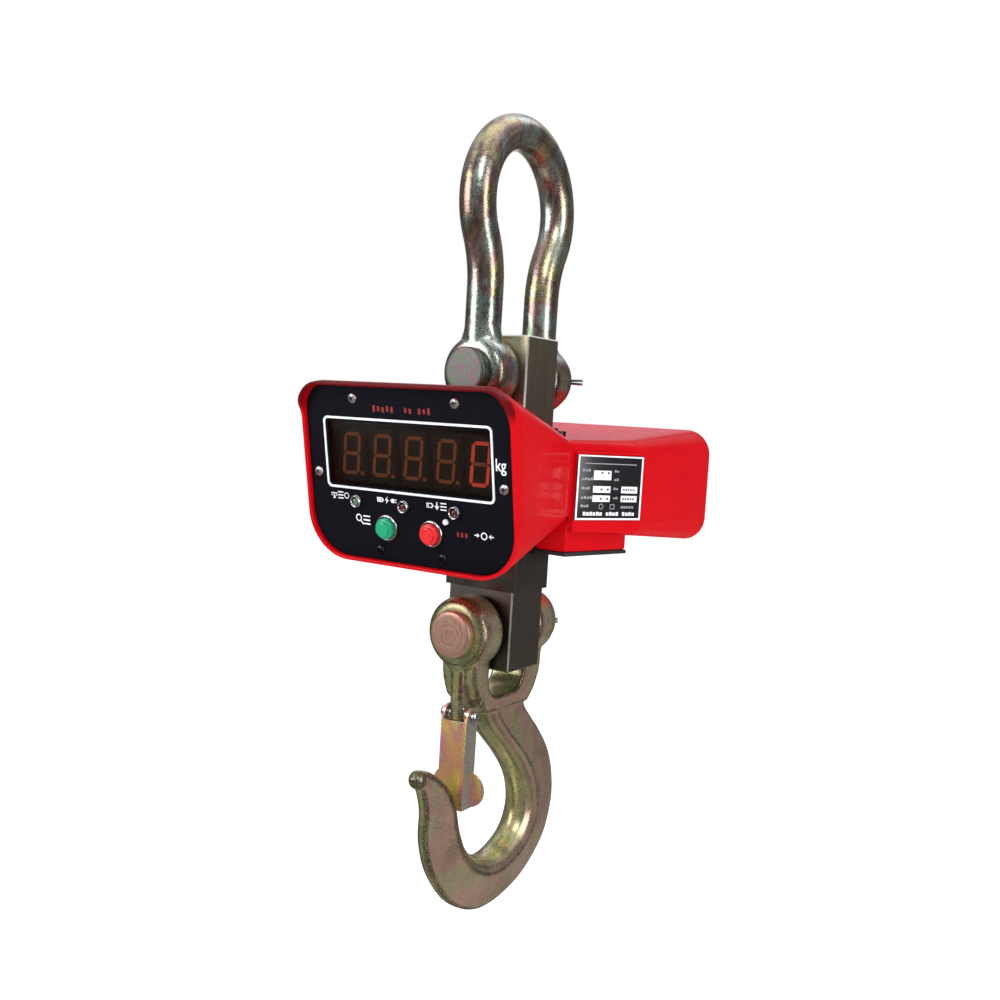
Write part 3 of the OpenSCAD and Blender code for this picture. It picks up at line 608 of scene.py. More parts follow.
# the hood's paint turns a darker red on marked points: painted shade on the visor's rim
hood_paint = plastic("paint_red_hood_painted_shade", lip=(0.12, 0.002, 0.004), **RED)
rubber = plastic("rubber_black", (0.018, 0.018, 0.02), 0.68, 700, 0.12)
black_plastic = plastic("plastic_black", (0.022, 0.022, 0.025), 0.46, 1300, 0.08)
panel_film = plastic("film_panel", (0.0040, 0.0042, 0.0080), 0.42, 2600, 0.02, spec=0.08)
white_print = plastic("print_white", (0.86, 0.87, 0.90), 0.38, 1600, 0.01)
grey_print = plastic("print_grey", (0.30, 0.31, 0.33), 0.45, 1600, 0.01)
dark_red_print = plastic("print_dark_red", (0.24, 0.014, 0.012), 0.4, 1600, 0.01)
green_cap = plastic("cap_green", (0.004, 0.33, 0.155), 0.30, 500, 0.01, coat=0.5, spread=0.06)
red_cap = plastic("cap_red", (0.74, 0.010, 0.014), 0.30, 500, 0.01, coat=0.5, spread=0.06)
digit_body = plastic("digit_body", (0.020, 0.016, 0.014), 0.6, 1200, 0.03)
digit_face = plastic("digit_face", (0.050, 0.028, 0.020), 0.5, 1200, 0.03)
digit_gap = plastic("digit_joint", (0.10, 0.03, 0.018), 0.5, 1200, 0.03)
plate_film = plastic("film_rating_plate", (0.012, 0.012, 0.014), 0.25, 1800, 0.01)
board = plastic("board_green", (0.02, 0.13, 0.05), 0.4, 500, 0.03, spread=0.3)
cable_grey = plastic("cable_grey", (0.28, 0.28, 0.30), 0.5, 900, 0.05)
cable_red = plastic("cable_red", (0.40, 0.015, 0.015), 0.45, 900, 0.05)
battery_case = plastic("battery_case", (0.045, 0.048, 0.055), 0.5, 900, 0.06)
lens_clear = plastic("led_clear", (0.10, 0.16, 0.12), 0.12, 900, 0.005, coat=1.0)
lens_red = plastic("led_red", (0.09, 0.006, 0.008), 0.12, 900, 0.005, coat=1.0)


def glowing(name, color, strength):
    p = Paint(name, color, rough=0.5, glow=strength, glow_color=color)
    p.feed("color", p.ramp(p.noise(900, 2.0), [(0.3, tuple(c * 0.8 for c in color)), (0.7, color)]))
    return p.material


# unlit segments given a faint glow: painted light, so they show through the smoked filter
segment_unlit_painted_glow = glowing("segment_unlit_painted_glow", (0.40, 0.12, 0.045), 0.34)
segment_lit = glowing("segment_lit", (0.95, 0.09, 0.05), 0.80)


smoked_film = Paint("filter_smoked", (0.010, 0.005, 0.003), rough=0.24, alpha=0.42, spec=0.15)
smoked_film.feed("rough", smoked_film.ramp(smoked_film.noise(300, 2.0), [(0.3, 0.20), (0.7, 0.28)]))


# --- camera ---
AZIMUTH, ELEVATION, ROLL = math.radians(33.37), math.radians(4.14), math.radians(3.54)
DISTANCE, SHIFT_R, SHIFT_U, LENS = 0.83061, -0.00321, -0.03151, 39.03


def add_camera():
    back = Vector((math.sin(AZIMUTH) * math.cos(ELEVATION), -math.cos(AZIMUTH) * math.cos(ELEVATION),
                   math.sin(ELEVATION)))
    level = Vector((math.cos(AZIMUTH), math.sin(AZIMUTH), 0))
    upright = back.cross(level)
    right = level * math.cos(ROLL) + upright * math.sin(ROLL)
    up = upright * math.cos(ROLL) - level * math.sin(ROLL)
    data = bpy.data.cameras.new("camera")
    data.lens, data.sensor_width = LENS, 36.0
    data.clip_start, data.clip_end = 0.01, 50
    camera = add_object("camera", data)
    place = Matrix((right, up, back)).transposed().to_4x4()
    place.translation = Vector((0, 0, WINDOW_Z * MM)) + back * DISTANCE + right * SHIFT_R + up * SHIFT_U
    camera.matrix_world = place
    bpy.context.scene.camera = camera


add_camera()


# --- floor, world and lights ---
def add_floor():
    size, z = 9000.0, -950.0
    floor = make("floor", [(x, y, z) for x, y in rect(-size, -size, size, size)], [(0, 1, 2, 3)])
    paint = plastic("floor_pale", (0.80, 0.80, 0.81), 0.9, 30, spread=0.01, glow=0.62, glow_color=(1, 1, 1))
    floor.data.materials.append(paint)
    floor.visible_glossy = False


def add_world():
    world = bpy.data.worlds.new("studio")
    bpy.context.scene.world = world
    world.use_nodes = True
    tree = world.node_tree
    tree.nodes.clear()

    def add(kind, **inputs):
        return new_node(tree, kind, **inputs)
    link = tree.links.new
    where, split, height = add("ShaderNodeTexCoord"), add("ShaderNodeSeparateXYZ"), add("ShaderNodeMath")
    link(where.outputs["Generated"], split.inputs[0])
    height.operation = "MULTIPLY_ADD"
    height.inputs[1].default_value, height.inputs[2].default_value = 0.5, 0.5
    link(split.outputs["Z"], height.inputs[0])
    ramp = add("ShaderNodeValToRGB")
    link(height.outputs[0], ramp.inputs[0])
    set_stops(ramp.color_ramp.elements, [
        (0.0, (0.34, 0.30, 0.27)), (0.40, (0.17, 0.15, 0.13)), (0.53, (0.17, 0.17, 0.175)),
        (0.66, (0.20, 0.21, 0.23)), (0.80, (0.90, 0.94, 1.0)), (1.0, (1.1, 1.12, 1.15))])
    # bright and dark patches for the metals to mirror
    patch = add("ShaderNodeTexNoise", Scale=3.2, Detail=1.0)
    level = add("ShaderNodeMapRange", From_Min=0.38, From_Max=0.62, To_Min=0.25, To_Max=1.3)
    link(where.outputs["Generated"], patch.inputs["Vector"])
    link(patch.outputs["Fac"], level.inputs["Value"])
    lit, seen = add("ShaderNodeBackground"), add("ShaderNodeBackground", Color=(1, 1, 1, 1))
    mixer = add("ShaderNodeMixShader")
    link(ramp.outputs[0], lit.inputs[0])
    link(level.outputs["Result"], lit.inputs[1])
    link(add("ShaderNodeLightPath").outputs["Is Camera Ray"], mixer.inputs[0])
    link(lit.outputs[0], mixer.inputs[1])
    link(seen.outputs[0], mixer.inputs[2])
    link(mixer.outputs[0], add("ShaderNodeOutputWorld").inputs[0])


def add_light(name, spot, size, power, color=(1, 1, 1)):
    data = bpy.data.lights.new(name, "AREA")
    data.shape, data.size, data.size_y = "RECTANGLE", size[0], size[1]
    data.energy, data.color = power, color
    light = add_object(name, data)
    light.location = spot
    light.rotation_euler = (LIGHT_AIM - Vector(spot)).to_track_quat("-Z", "Y").to_euler()


add_floor()
add_world()
LIGHT_AIM = Vector((0, 0, -0.28))
add_light("front_left", (-0.78, -1.15, 0.18), (0.75, 1.0), 10.5)
add_light("side_right", (1.35, -0.25, 0.0), (0.40, 1.2), 9)
add_light("front_high", (0.9, -1.2, 1.0), (0.6, 0.6), 8)
add_light("top", (0.1, 0.1, 1.2), (1.2, 1.2), 4)
add_light("back_left", (-0.8, 1.25, 0.1), (1.0, 0.5), 1.4, (1.0, 0.80, 0.92))
add_light("back_high", (0.3, 1.2, 1.4), (0.8, 0.8), 2.6, (1.0, 0.88, 0.96))
bpy.context.scene.view_settings.view_transform = "Standard"


# --- suspension shackle and hook: forged pieces ---
FORGE_VOXEL, EDGE_GAIN = 1.15, 2.2


def eye_ring(z, side):
    """Forged eye: a ring round the pin, domed on its outer face."""
    hole, inner, outer, r = PIN_R + EYE_GAP, 24.6, 52.4, 27.0
    profile = [(hole, inner), (r - 4, inner), (r - 1.2, inner + 1.2), (r, inner + 4), (r, outer - 8),
               (r - 1.0, outer - 4), (r - 3.6, outer - 1.2), (r - 7.5, outer), (hole, outer)]
    return lathe("eye", profile, along_y(0, z, side), 72, loop=True)


def shackle_piece():
    rod, leg, bow, flare = 13.5, 39.0, 55.0, 80.0
    crown_z = rod - bow
    turn_y = leg + flare
    turn_z = crown_z - math.sqrt((bow + flare) ** 2 - turn_y ** 2)
    turn = math.asin((crown_z - turn_z) / (bow + flare))

    def arc(cy, cz, r, a0, a1, n):
        return [(0, *polar(r, a0 + (a1 - a0) * i / n, cy, cz)) for i in range(n + 1)]
    leg_foot = UPPER_PIN + 17
    path = [(0, leg, leg_foot), (0, leg, leg_foot + 15)]
    path += arc(turn_y, turn_z, flare, math.pi, math.pi - turn, 10)
    path += arc(0, crown_z, bow, -turn, math.pi + turn, 48)[1:]
    path += arc(-turn_y, turn_z, flare, turn, 0, 10)[1:] + [(0, -leg, leg_foot + 15), (0, -leg, leg_foot)]
    parts = [tube("bow", path, rod, 40)]
    for side in (-1, 1):
        parts.append(eye_ring(UPPER_PIN, side))
        # neck: the leg spreads into the eye
        rings = []
        for k in range(7):
            t = k / 6
            half, deep = 13.3 + 8.0 * t ** 2, 13.3 - 1.2 * t
            z = UPPER_PIN + 38 - 21.5 * t
            rings.append([(half * math.cos(a), side * leg + deep * math.sin(a), z)
                          for a in (2 * math.pi * j / 32 for j in range(32))])
        parts.append(loft("neck", rings))
    obj = forge(join("bow_shackle", parts), FORGE_VOXEL, 9)
    mark_edges(obj, EDGE_GAIN)
    return put(obj, "shackle_body", forged_top, "forged_zinc", "shackle", angle=80)


# along the hook: inner y and z, outer y and z from the pin, half-width, half-width of the outer edge
HOOK_STATIONS = [
    (-27, -56, 32, -60, 15, 14), (-20, -69, 38, -68, 15, 11), (-7, -84, 52, -79, 15, 8),
    (17, -106, 73, -97, 15, 5.5), (34, -125, 91, -118, 15, 4.5), (43, -143, 100, -141, 15, 4.5),
    (44, -159, 101, -166, 15, 4.5), (36, -173, 88, -195, 15, 4.5), (20, -181, 52, -219, 15, 4.5),
    (2, -183, 2, -226, 15, 4.5), (-18, -176, -38, -210, 15, 4.5), (-33, -163, -66, -180, 14.5, 4.5),
    (-42, -146, -78, -152, 14, 4.5), (-48, -128, -79, -128, 13, 4.5), (-57, -112, -83, -114, 11, 4.5),
    (-73, -99, -89, -105, 7.5, 4), (-87, -94.5, -94, -99.5, 4.5, 3)]
# across the hook: share of the way out, share of each of the two half-widths
HOOK_SECTION = [(0, 0, 0), (0.02, 0.3, 0), (0.06, 0.6, 0), (0.15, 0.88, 0), (0.25, 1, 0), (0.30, 0.99, 0),
                (0.6, 0.55, 0.45), (0.93, 0.02, 1), (0.97, 0, 0.96), (1, 0, 0.55)]


def hook_piece():
    section = HOOK_SECTION + [(c, -w, -e) for c, w, e in HOOK_SECTION[:0:-1]]
    rings = []
    for s in spline(HOOK_STATIONS, 8):
        rings.append([(w * s[4] + e * s[5], s[0] + (s[2] - s[0]) * c, LOWER_PIN + s[1] + (s[3] - s[1]) * c)
                      for c, w, e in section])
    parts = [loft("shank", rings)]
    tip_r = 7.0
    ball = [(tip_r * math.sin(a), -tip_r * math.cos(a)) for a in (math.pi * k / 14 for k in range(1, 14))]
    tip_place = Matrix.Translation((0, -86.5, LOWER_PIN - 101.5))
    parts.append(lathe("tip", [(0, -tip_r)] + ball + [(0, tip_r)], tip_place, 28))
    # fork: rear arm, saddle and front arm, from one profile; it narrows towards the lug in front
    outline = [(-51, 0), (-51, -14), (-45, -24), (-43, -36), (-37, -50), (-26, -62), (33, -62), (42, -52),
               (48, -40), (49, -26), (51, -14), (51, 0)]
    at_pin = Matrix.Translation((0, 0, LOWER_PIN))
    fork = prism("fork", outline, -15, 15, at_pin @ X_OUT)
    well = soft_flat([(-24.5, 16), (-24.5, -51.5), (24.5, -51.5), (24.5, 16)], 18, 8)
    cut(fork, prism("well", well, -40, 40, at_pin @ X_OUT))
    cut(fork, cylinder("bore", PIN_R + EYE_GAP, -70, 70, along_y(0, LOWER_PIN), 72))
    # flanks of the front arm slope in towards the lug
    for side in (-1, 1):
        wedge = [(side * 7.0, -66.0), (side * 40.0, -66.0), (side * 40.0, -49.0), (side * 15.5, -49.0)]
        cut(fork, prism("flank", wedge[::side], 31.0, 60.0, along_y(0, LOWER_PIN)))
    parts.append(fork)
    lug = [(-47, -20), (-46, -58), (-44, -67), (-38, -69), (-32, -67), (-22, -62), (-27, -50), (-33, -30)]
    parts.append(prism("lug", lug, -5, 5, at_pin @ X_OUT))
    for side in (-1, 1):
        parts.append(eye_ring(LOWER_PIN, side))
    obj = forge(join("swivel_hook", parts), FORGE_VOXEL, 8)
    mark_edges(obj, EDGE_GAIN)
    mark_flanks(obj)
    return put(obj, "hook_body", forged_hook, "forged_zinc", "hook", angle=80)


shackle_piece()
hook_piece()


# --- pins, washers and split pins ---
SPLIT_PIN_Y = 59.0


def pin_pieces(prefix, z, head_y, body, material, leg):
    front = -head_y
    head = [(0, front), (13.5, front), (16.2, front - 0.1), (17.0, front - 0.45), (17.4, front - 1.2),
            (17.5, front - 2.2), (17.5, 52.9), (17.2, 52.6), (PIN_R, 52.55), (PIN_R, -63.0), (13.4, -65.6),
            (11.8, -66.9), (0, -67.0)]
    pin = lathe(prefix + "_pin_turned", head, along_y(0, z), 72)
    cut(pin, cylinder("hole", 2.3, -30, 30, along_x(SPLIT_PIN_Y, z), 20))
    put(pin, body, material, "pin_zinc", prefix + "_pin", angle=40)
    washer = soft_flat(rect(14.35, 52.6, 23, 55.45), 0.7, 3, closed=True)
    washer = lathe(prefix + "_washer_turned", washer, along_y(0, z, 1), 64, loop=True)
    put(washer, body, material, "pin_zinc", prefix + "_washer", angle=40)
    # split pin: a folded wire with a ring at one end and two legs at the other
    gap, ring_r, start, foot, spread = 1.05, 4.2, -21.3, 17.5, 0.03
    half = [(-16.5, gap + 0.5), (-14.5, gap), (15, gap), (foot + leg / 2, gap + leg * spread / 2),
            (foot + leg, gap + leg * spread)]
    ring = [polar(ring_r, math.radians(-50 - 260 * k / 12), start) for k in range(13)]
    path = [(x, -h) for x, h in half[::-1]] + ring + half
    wire = tube(prefix + "_split_pin", [(x, SPLIT_PIN_Y, z + h) for x, h in spline(path, 3)], 1.0, 10)
    put(wire, body, plain_steel, "plain_steel", prefix + "_cotter", angle=60)


pin_pieces("shackle", UPPER_PIN, -60.0, "shackle_body", pin_top, 13.0)
pin_pieces("hook", LOWER_PIN, -58.5, "hook_body", pin_low, 4.5)


# --- load cell ---
def load_cell_piece():
    low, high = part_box("load_cell")
    bar = box_mesh("load_cell_bar", *(c / MM for pair in zip(low, high) for c in pair))
    bevel(bar, 1.1, 1, 60)
    for material in (cell_steel, edge_highlight_steel, cell_lit_side):
        bar.data.materials.append(material)
    # the bevel faces take the lighter steel: painted highlight along the edges
    for face in bar.data.polygons:
        flat = max(abs(c) for c in face.normal) > 0.99
        # faces along X take the lighter copy: painted side light
        face.material_index = 1 if not flat else 2 if abs(face.normal.x) > 0.99 else 0
    for z in (UPPER_PIN, LOWER_PIN):
        cut(bar, cylinder("bore", PIN_R + BORE_GAP, -40, 40, along_y(0, z), 72))
    for side in (-1, 1):
        place = Matrix.Translation((side * BAR_HALF, 0, 0)) @ along_x(0, GAUGE_Z)
        cut(bar, cylinder("pocket", GAUGE_R, -4, 4, place, 48))
    return put(bar, "scale", None, "cell_steel", "load_cell", angle=25)


load_cell_piece()


# --- housing ---
def rounded(x0, z0, x1, z1, low_r, high_r, arc=14, side=24, flat=14):
    """Rounded rectangle with the same points in the same order whatever its size."""
    def corner(cx, cz, r, start):
        return [polar(r, math.radians(start + 90 * i / (arc - 1)), cx, cz) for i in range(arc)]
    corners = [corner(x1 - high_r, z1 - high_r, high_r, 0), corner(x0 + high_r, z1 - high_r, high_r, 90),
               corner(x0 + low_r, z0 + low_r, low_r, 180), corner(x1 - low_r, z0 + low_r, low_r, 270)]
    out = []
    for k, points in enumerate(corners):
        out += points
        a, b = points[-1], corners[(k + 1) % 4][0]
        steps = flat if k in (0, 2) else side
        out += [(a[0] + (b[0] - a[0]) * i / steps, a[1] + (b[1] - a[1]) * i / steps) for i in range(1, steps)]
    return out


def head_outline(inset):
    return rounded(-90 + inset, -77.5 + inset, 90 - inset, 50.4 - inset, 34 - inset, 20 - inset)


def visor(v):
    """How far the rim stands in front of the panel at height v."""
    return float(np.interp(v, (25, 29, 34, 38), (3.5, 4.3, 6.7, 7.5)))


def bar_hole():
    low, high = (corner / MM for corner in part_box("load_cell"))
    plan = rect(low.x - BAR_GAP, low.y - BAR_GAP, high.x + BAR_GAP, high.y + BAR_GAP)
    return prism("bar_hole", plan, -400, -100)


def front_hood_piece():
    place = on_panel()

    def rim(inset, depth, absolute=False):
        return [place @ Vector((u, v, depth if absolute else visor(v) + depth))
                for u, v in head_outline(inset)]

    def neck(inset, y):
        half = WAIST_HALF - inset
        points = rounded(-half, WINDOW_Z - 40 + inset, half, ROOF_Z - inset, 6, 8)
        return [Vector((x, y, z)) for x, z in points]
    rings = [rim(2.6, -0.6, True), rim(2.6, -0.9), rim(2.35, -0.35), rim(1.8, 0), rim(0.9, 0), rim(0.3, -0.3),
             rim(0, -0.9)]
    outer, inner = rim(0, -1.0, True), rim(2.0, -2.4, True)
    end, end_in = neck(0, WAIST_Y), neck(2, WAIST_Y)
    rings.append(rim(0, 0.6, True))
    steps = 12
    for k in range(steps + 1):
        rings.append([a.lerp(b, k / steps) for a, b in zip(outer, end)])
    for k in range(steps, -1, -1):
        rings.append([a.lerp(b, k / steps) for a, b in zip(inner, end_in)])
    obj = loft("front_hood_shell", rings, loop=True)
    cut(obj, bar_hole())
    # the visor's rim, from the height where it steps out, gets painted shade: its red is darkened there
    back = place.inverted()
    spots = [back @ (vertex.co / MM) for vertex in obj.data.vertices]
    mark(obj, "lip", [min(1, max(0, (spot.y - 27) / 8)) if spot.z > 0 else 0 for spot in spots])
    return put(obj, "scale", hood_paint, "red_paint", "front_hood", angle=40)


def rear_housing_piece():
    # y, half-width, low z, high z, low radius, high radius
    rows = [(WAIST_Y, WAIST_HALF, WINDOW_Z - 48, ROOF_Z, 6, 8),
            (FLARE_Y, FLARE_HALF, WINDOW_Z - 54, WINDOW_Z + 20, 12, 14),
            (REAR_Y, REAR_HALF, WINDOW_Z - 64, WINDOW_Z + 31, 20, 22)]

    def row_at(y):
        columns = list(zip(*rows))
        return np.array([np.interp(y, columns[0], column) for column in columns])
    bend = 7.0
    start, knee, end = row_at(FLARE_Y - bend), row_at(FLARE_Y), row_at(FLARE_Y + bend)
    stations = [row_at(y) for y in (WAIST_Y, 12, 24, 36, 46)]
    stations += [start * (1 - t) ** 2 + knee * 2 * t * (1 - t) + end * t * t
                 for t in (k / 6 for k in range(7))]
    stations += [row_at(y) for y in (85, 110, 135, 160, 178)]

    def ring(row, inset, y=None):
        y0, w, z0, z1, low_r, high_r = row
        return [(x, y0 if y is None else y, z) for x, z in
                rounded(-w + inset, z0 + inset, w - inset, z1 - inset, max(low_r - inset * 0.6, 1),
                        max(high_r - inset * 0.6, 1))]
    last = row_at(REAR_Y)
    rings = [ring(s, 0) for s in stations]
    rings += [ring(last, 0, REAR_Y - 0.8), ring(last, 0.25, REAR_Y - 0.25), ring(last, 0.8, REAR_Y),
              ring(last, 1.3, REAR_Y), ring(last, 1.8, REAR_Y - 0.3), ring(last, 2, REAR_Y - 0.9)]
    rings += [ring(s, 2) for s in stations[::-1]]
    obj = loft("rear_housing_shell", rings, loop=True)
    plan = [(-57, WAIST_Y), (57, WAIST_Y), (73, 70), (-73, 70)]
    block = prism("block", plan, BASE_Z, WINDOW_Z - 40)
    bevel(block, 1.6, 3, 20)
    cut(obj, block, "UNION")
    for side in (-1, 1):
        pad = prism("pad", rect(0.5, -50, 65, 10), -1, PAD, on_flare())
        if side < 0:
            pad.data.transform(Matrix.Diagonal((-1, 1, 1, 1)))
            tidy(pad)
        bevel(pad, 0.7, 3)
        cut(obj, pad, "UNION")
    cut(obj, prism("block_hollow", [(-54.5, WAIST_Y + 2), (54.5, WAIST_Y + 2), (70.5, 68), (-70.5, 68)],
                   BASE_Z - 2, WINDOW_Z - 30))
    cut(obj, bar_hole())
    return put(obj, "scale", red_paint, "red_paint", "rear_housing", angle=40)


front_hood_piece()
rear_housing_piece()


# --- display head: panel, window, digits ---
def small(node, body, material, slot, width, segments=2, angle=34, name=None):
    """A CAD node's own shape with its edges rounded."""
    obj = copy_node(node, name)
    if width:
        bevel(obj, width, segments)
    return put(obj, body, material, slot, node, angle=angle)


small("front_panel", "scale", panel_film, "panel_film", 0.0)
small("display_filter", "scale", smoked_film.material, "smoked_filter", 0.25)


def window_line():
    def ring(inset, n):
        w, h, r = 72 - inset, 25.5 - inset, 4 - inset * 0.75
        return [on_panel() @ Vector((u, v, n)) for u, v in rounded(-w, -h, w, h, r, r, 8, 2, 2)]
    rings = [ring(0, 0.03), ring(0, 0.45), ring(0.2, 0.65), ring(0.5, 0.72), ring(1.1, 0.72), ring(1.4, 0.65),
             ring(1.6, 0.45), ring(1.6, 0.03)]
    obj = loft("window_line", rings, loop=True)
    put(obj, "scale", white_print, "white_line", "window_frame")


window_line()


DIGIT_PITCH, DIGIT_TALL, DIGIT_WIDE, SEGMENT, LEAN = 27.7, 30.5, 15.5, 2.5, 0.14


def bar_outline(x, y, length, upright):
    """A segment of the leaning digit: a bar with pointed ends."""
    h, t = length / 2, SEGMENT / 2
    flat = [(-h, 0), (-h + t, t), (h - t, t), (h, 0), (h - t, -t), (-h + t, -t)]
    out = []
    for a, b in flat:
        px, py = (x + b, y + a) if upright else (x + a, y + b)
        out.append((px + LEAN * py, py))
    return out


def digit_piece(index):
    """Seven-segment module: a box, its sunken face and bars; the last one shows a lit zero."""
    place = on_panel((index - 3) * DIGIT_PITCH, -2, -8.3)
    body = box_mesh("module", -13.7, 13.7, -20, 20, -11, 0, place)
    cut(body, box_mesh("recess", -12.2, 12.2, -18.4, 18.4, -0.7, 5, place))
    bevel(body, 0.25, 2)
    body.data.materials.append(digit_body)
    face = box_mesh("face", -12.15, 12.15, -18.35, 18.35, -0.9, -0.6, place)
    face.data.materials.append(digit_face)
    parts = [body, face]
    tall, wide = (DIGIT_TALL - SEGMENT) / 2, (DIGIT_WIDE - SEGMENT) / 2
    flat, upright = (2 * wide - 0.8, False), (tall - 0.8, True)
    for spot in ((0, tall, *flat), (0, 0, *flat), (0, -tall, *flat), (-wide, tall / 2, *upright),
                 (-wide, -tall / 2, *upright), (wide, tall / 2, *upright), (wide, -tall / 2, *upright)):
        bar = prism("bar", bar_outline(*spot), -0.7, -0.15, place)
        bevel(bar, 0.12, 1)
        middle = spot[:2] == (0, 0)
        bar.data.materials.append(segment_lit if index == 5 and not middle else segment_unlit_painted_glow)
        parts.append(bar)
    dot = lathe("dot", [(0, -0.7), (1.5, -0.7), (1.5, -0.3), (1.3, -0.15), (0, -0.15)],
                place @ Matrix.Translation((8.6, -tall, 0)), 20)
    dot.data.materials.append(segment_unlit_painted_glow)
    parts.append(dot)
    if index < 5:
        seam = box_mesh("seam", 13.72, 13.98, -19.5, 19.5, -0.6, -0.1, place)
        seam.data.materials.append(digit_gap)
        parts.append(seam)
    obj = join(f"digit_module_{index}", parts)
    put(obj, "scale", None, "digit_body", f"digit_{index}")


for digit in range(1, 6):
    digit_piece(digit)


# --- printed marks ---
def printed(name, shapes, place, body, material, slot, low=0.01, high=0.06):
    """Flat printed shapes, each an outline of (x, y), raised a hair above their surface."""
    parts = [prism("mark", shape, low, high, place) for shape in shapes]
    obj = join(name, parts)
    return put(obj, body, material, slot)


def frame_of(x0, y0, x1, y1, t):
    return [rect(x0, y0, x1, y0 + t), rect(x0, y1 - t, x1, y1), rect(x0, y0 + t, x0 + t, y1 - t),
            rect(x1 - t, y0 + t, x1, y1 - t)]


def ring_of(x, y, r, t, n=20):
    """Ring drawn as short four-sided pieces."""
    turns = [2 * math.pi * k / n for k in range(n + 1)]
    return [[polar(q, c, x, y) for q, c in ((r - t, a), (r, a), (r, b), (r - t, b))]
            for a, b in zip(turns, turns[1:])]


def drawn(shapes, x, y, size):
    return [[(x + size * px, y + size * py) for px, py in shape] for shape in shapes]


def battery_sign(fill):
    return frame_of(-1, -0.6, 0.8, 0.6, 0.2) + [rect(0.85, -0.25, 1.1, 0.25),
                                                rect(-0.65, -0.28, -0.65 + 1.1 * fill, 0.28)]


# signs at unit size: a beam on its pivot between two pans, a bolt, a plug, lines of text, an arrow down
BALANCE = [rect(-1, 0.25, 1, 0.5), [(0, 0.15), (-0.4, -1), (0.4, -1)], rect(-1, -0.3, -0.5, -0.05),
           rect(0.5, -0.3, 1, -0.05)]
BOLT = [[(0.3, 1), (-0.6, -0.1), (0, -0.1)], [(-0.3, -1), (0.6, 0.1), (0, 0.1)]]
PLUG = [rect(-0.7, -0.5, 0.2, 0.5), rect(0.2, 0.2, 1, 0.4), rect(0.2, -0.4, 1, -0.2),
        rect(-1.1, -0.12, -0.7, 0.12)]
LINES = [rect(-0.9, h - 0.15, 0.9, h + 0.15) for h in (-0.8, 0, 0.8)]
DOWN = [rect(-0.15, 0, 0.15, 1), [(0, -1), (0.7, 0), (-0.7, 0)]]
# a magnifier, and a nought between two arrows
LENS = ring_of(0, 0.2, 0.75, 0.22) + [[(0.42, -0.5), (0.62, -0.3), (1.15, -0.95), (0.95, -1.1)]]
NOUGHT = ring_of(0, 0, 0.8, 0.25)
for d in (-1, 1):
    NOUGHT += [[(d * 1.15, 0), (d * 1.75, 0.5), (d * 1.75, -0.5)][::d],
               [(d * 1.75, -0.12), (d * 2.4, -0.12), (d * 2.4, 0.12), (d * 1.75, 0.12)][::d]]

SIGN, SIGN_V = 2.75, -31.0
marks = []
for u, signs in ((-60.8, ((BALANCE, -6), (LINES, 0))),
                 (-18.4, ((battery_sign(0.9), -6), (BOLT, -0.2), (PLUG, 5.8))),
                 (24.6, ((battery_sign(0.25), -6), (DOWN, 0), (LINES, 5.4)))):
    for shapes, x in signs:
        marks += drawn(shapes, u + x, SIGN_V, SIGN)
marks += ring_of(-60.8 + 5.6, SIGN_V, 2.2, 0.6)
marks += drawn(LENS, -45.1, -46.6, 3.6) + drawn(LINES, -37.9, -47.0, 3.4) + drawn(NOUGHT, 62.0, -47.6, 3.2)
printed("panel_marks", marks, on_panel(), "scale", white_print, "white_line")
faint = [rect(-26 + 3.9 * k, 30 + 0.6 * (k % 2), -24 + 3.9 * k, 34.6 - 0.5 * (k % 3)) for k in range(13)
         if k not in (5, 6, 9)]
faint += [rect(40 + 3.4 * k, -50.4, 41.8 + 3.4 * k, -47.2) for k in range(3)]
printed("panel_faint_marks", faint, on_panel(), "scale", dark_red_print, "panel_film")


def unit_mark():
    curve = bpy.data.curves.new("unit", "FONT")
    curve.body = "kg"
    curve.size, curve.extrude, curve.offset = 11.4, 0.02, 0.10
    text = add_object("unit", curve)
    bpy.context.view_layer.update()
    mesh = bpy.data.meshes.new_from_object(text.evaluated_get(bpy.context.evaluated_depsgraph_get()))
    bpy.data.objects.remove(text)
    mesh.transform(Matrix.Scale(MM, 4) @ on_panel(73.0, -3.2, 0.04) @ Matrix.Diagonal((0.82, 1, 1, 1)))
    obj = add_object("unit_mark", mesh)
    tidy(obj, 0.001)
    put(obj, "scale", white_print, "white_line")


unit_mark()


# --- screws, lamps and buttons on the panel ---
PANEL_SCREWS = [(-43.5, 38.8), (43.5, 38.8), (-79.5, -15), (79.5, -15), (-27, -67.2), (27, -67.2)]
LAMPS = [(-46, -34), (-3.5, -34), (39.5, -34)]
BUTTONS = [(-19.5, -50.6), (19, -50.6)]


def cross_screw(place, turn):
    """Domed cross-head screw."""
    shank, radius, high = 6.4, 3.6, 1.95
    place = place @ Matrix.Rotation(turn, 4, "Z")
    head = [(0, high), (radius * 0.45, high - 0.03), (radius * 0.72, high - 0.35),
            (radius * 0.92, high - 0.95), (radius, high - 1.6), (radius, 0.03), (1.85, 0.03), (1.85, -shank),
            (0, -shank)]
    obj = lathe("screw", head, place, 28)
    a, b = 2.1, 0.68
    right = [(b, -a), (b, -b), (a, -b), (a, b), (b, b), (b, a)]
    cross = [(-x, -y) for x, y in right[3:]] + right + [(-x, -y) for x, y in right[:3]]
    return cut(obj, prism("cross", cross, high - 1.5, high + 2, place))


rng = random.Random(7)
screws = [cross_screw(on_panel(u, v), rng.uniform(0, 1.5)) for u, v in PANEL_SCREWS]
# the two lowest screws take the black screw finish, darker than the four above
for k, screw in enumerate(screws):
    screw.data.materials.append(screw_steel if k < 4 else black_screw)
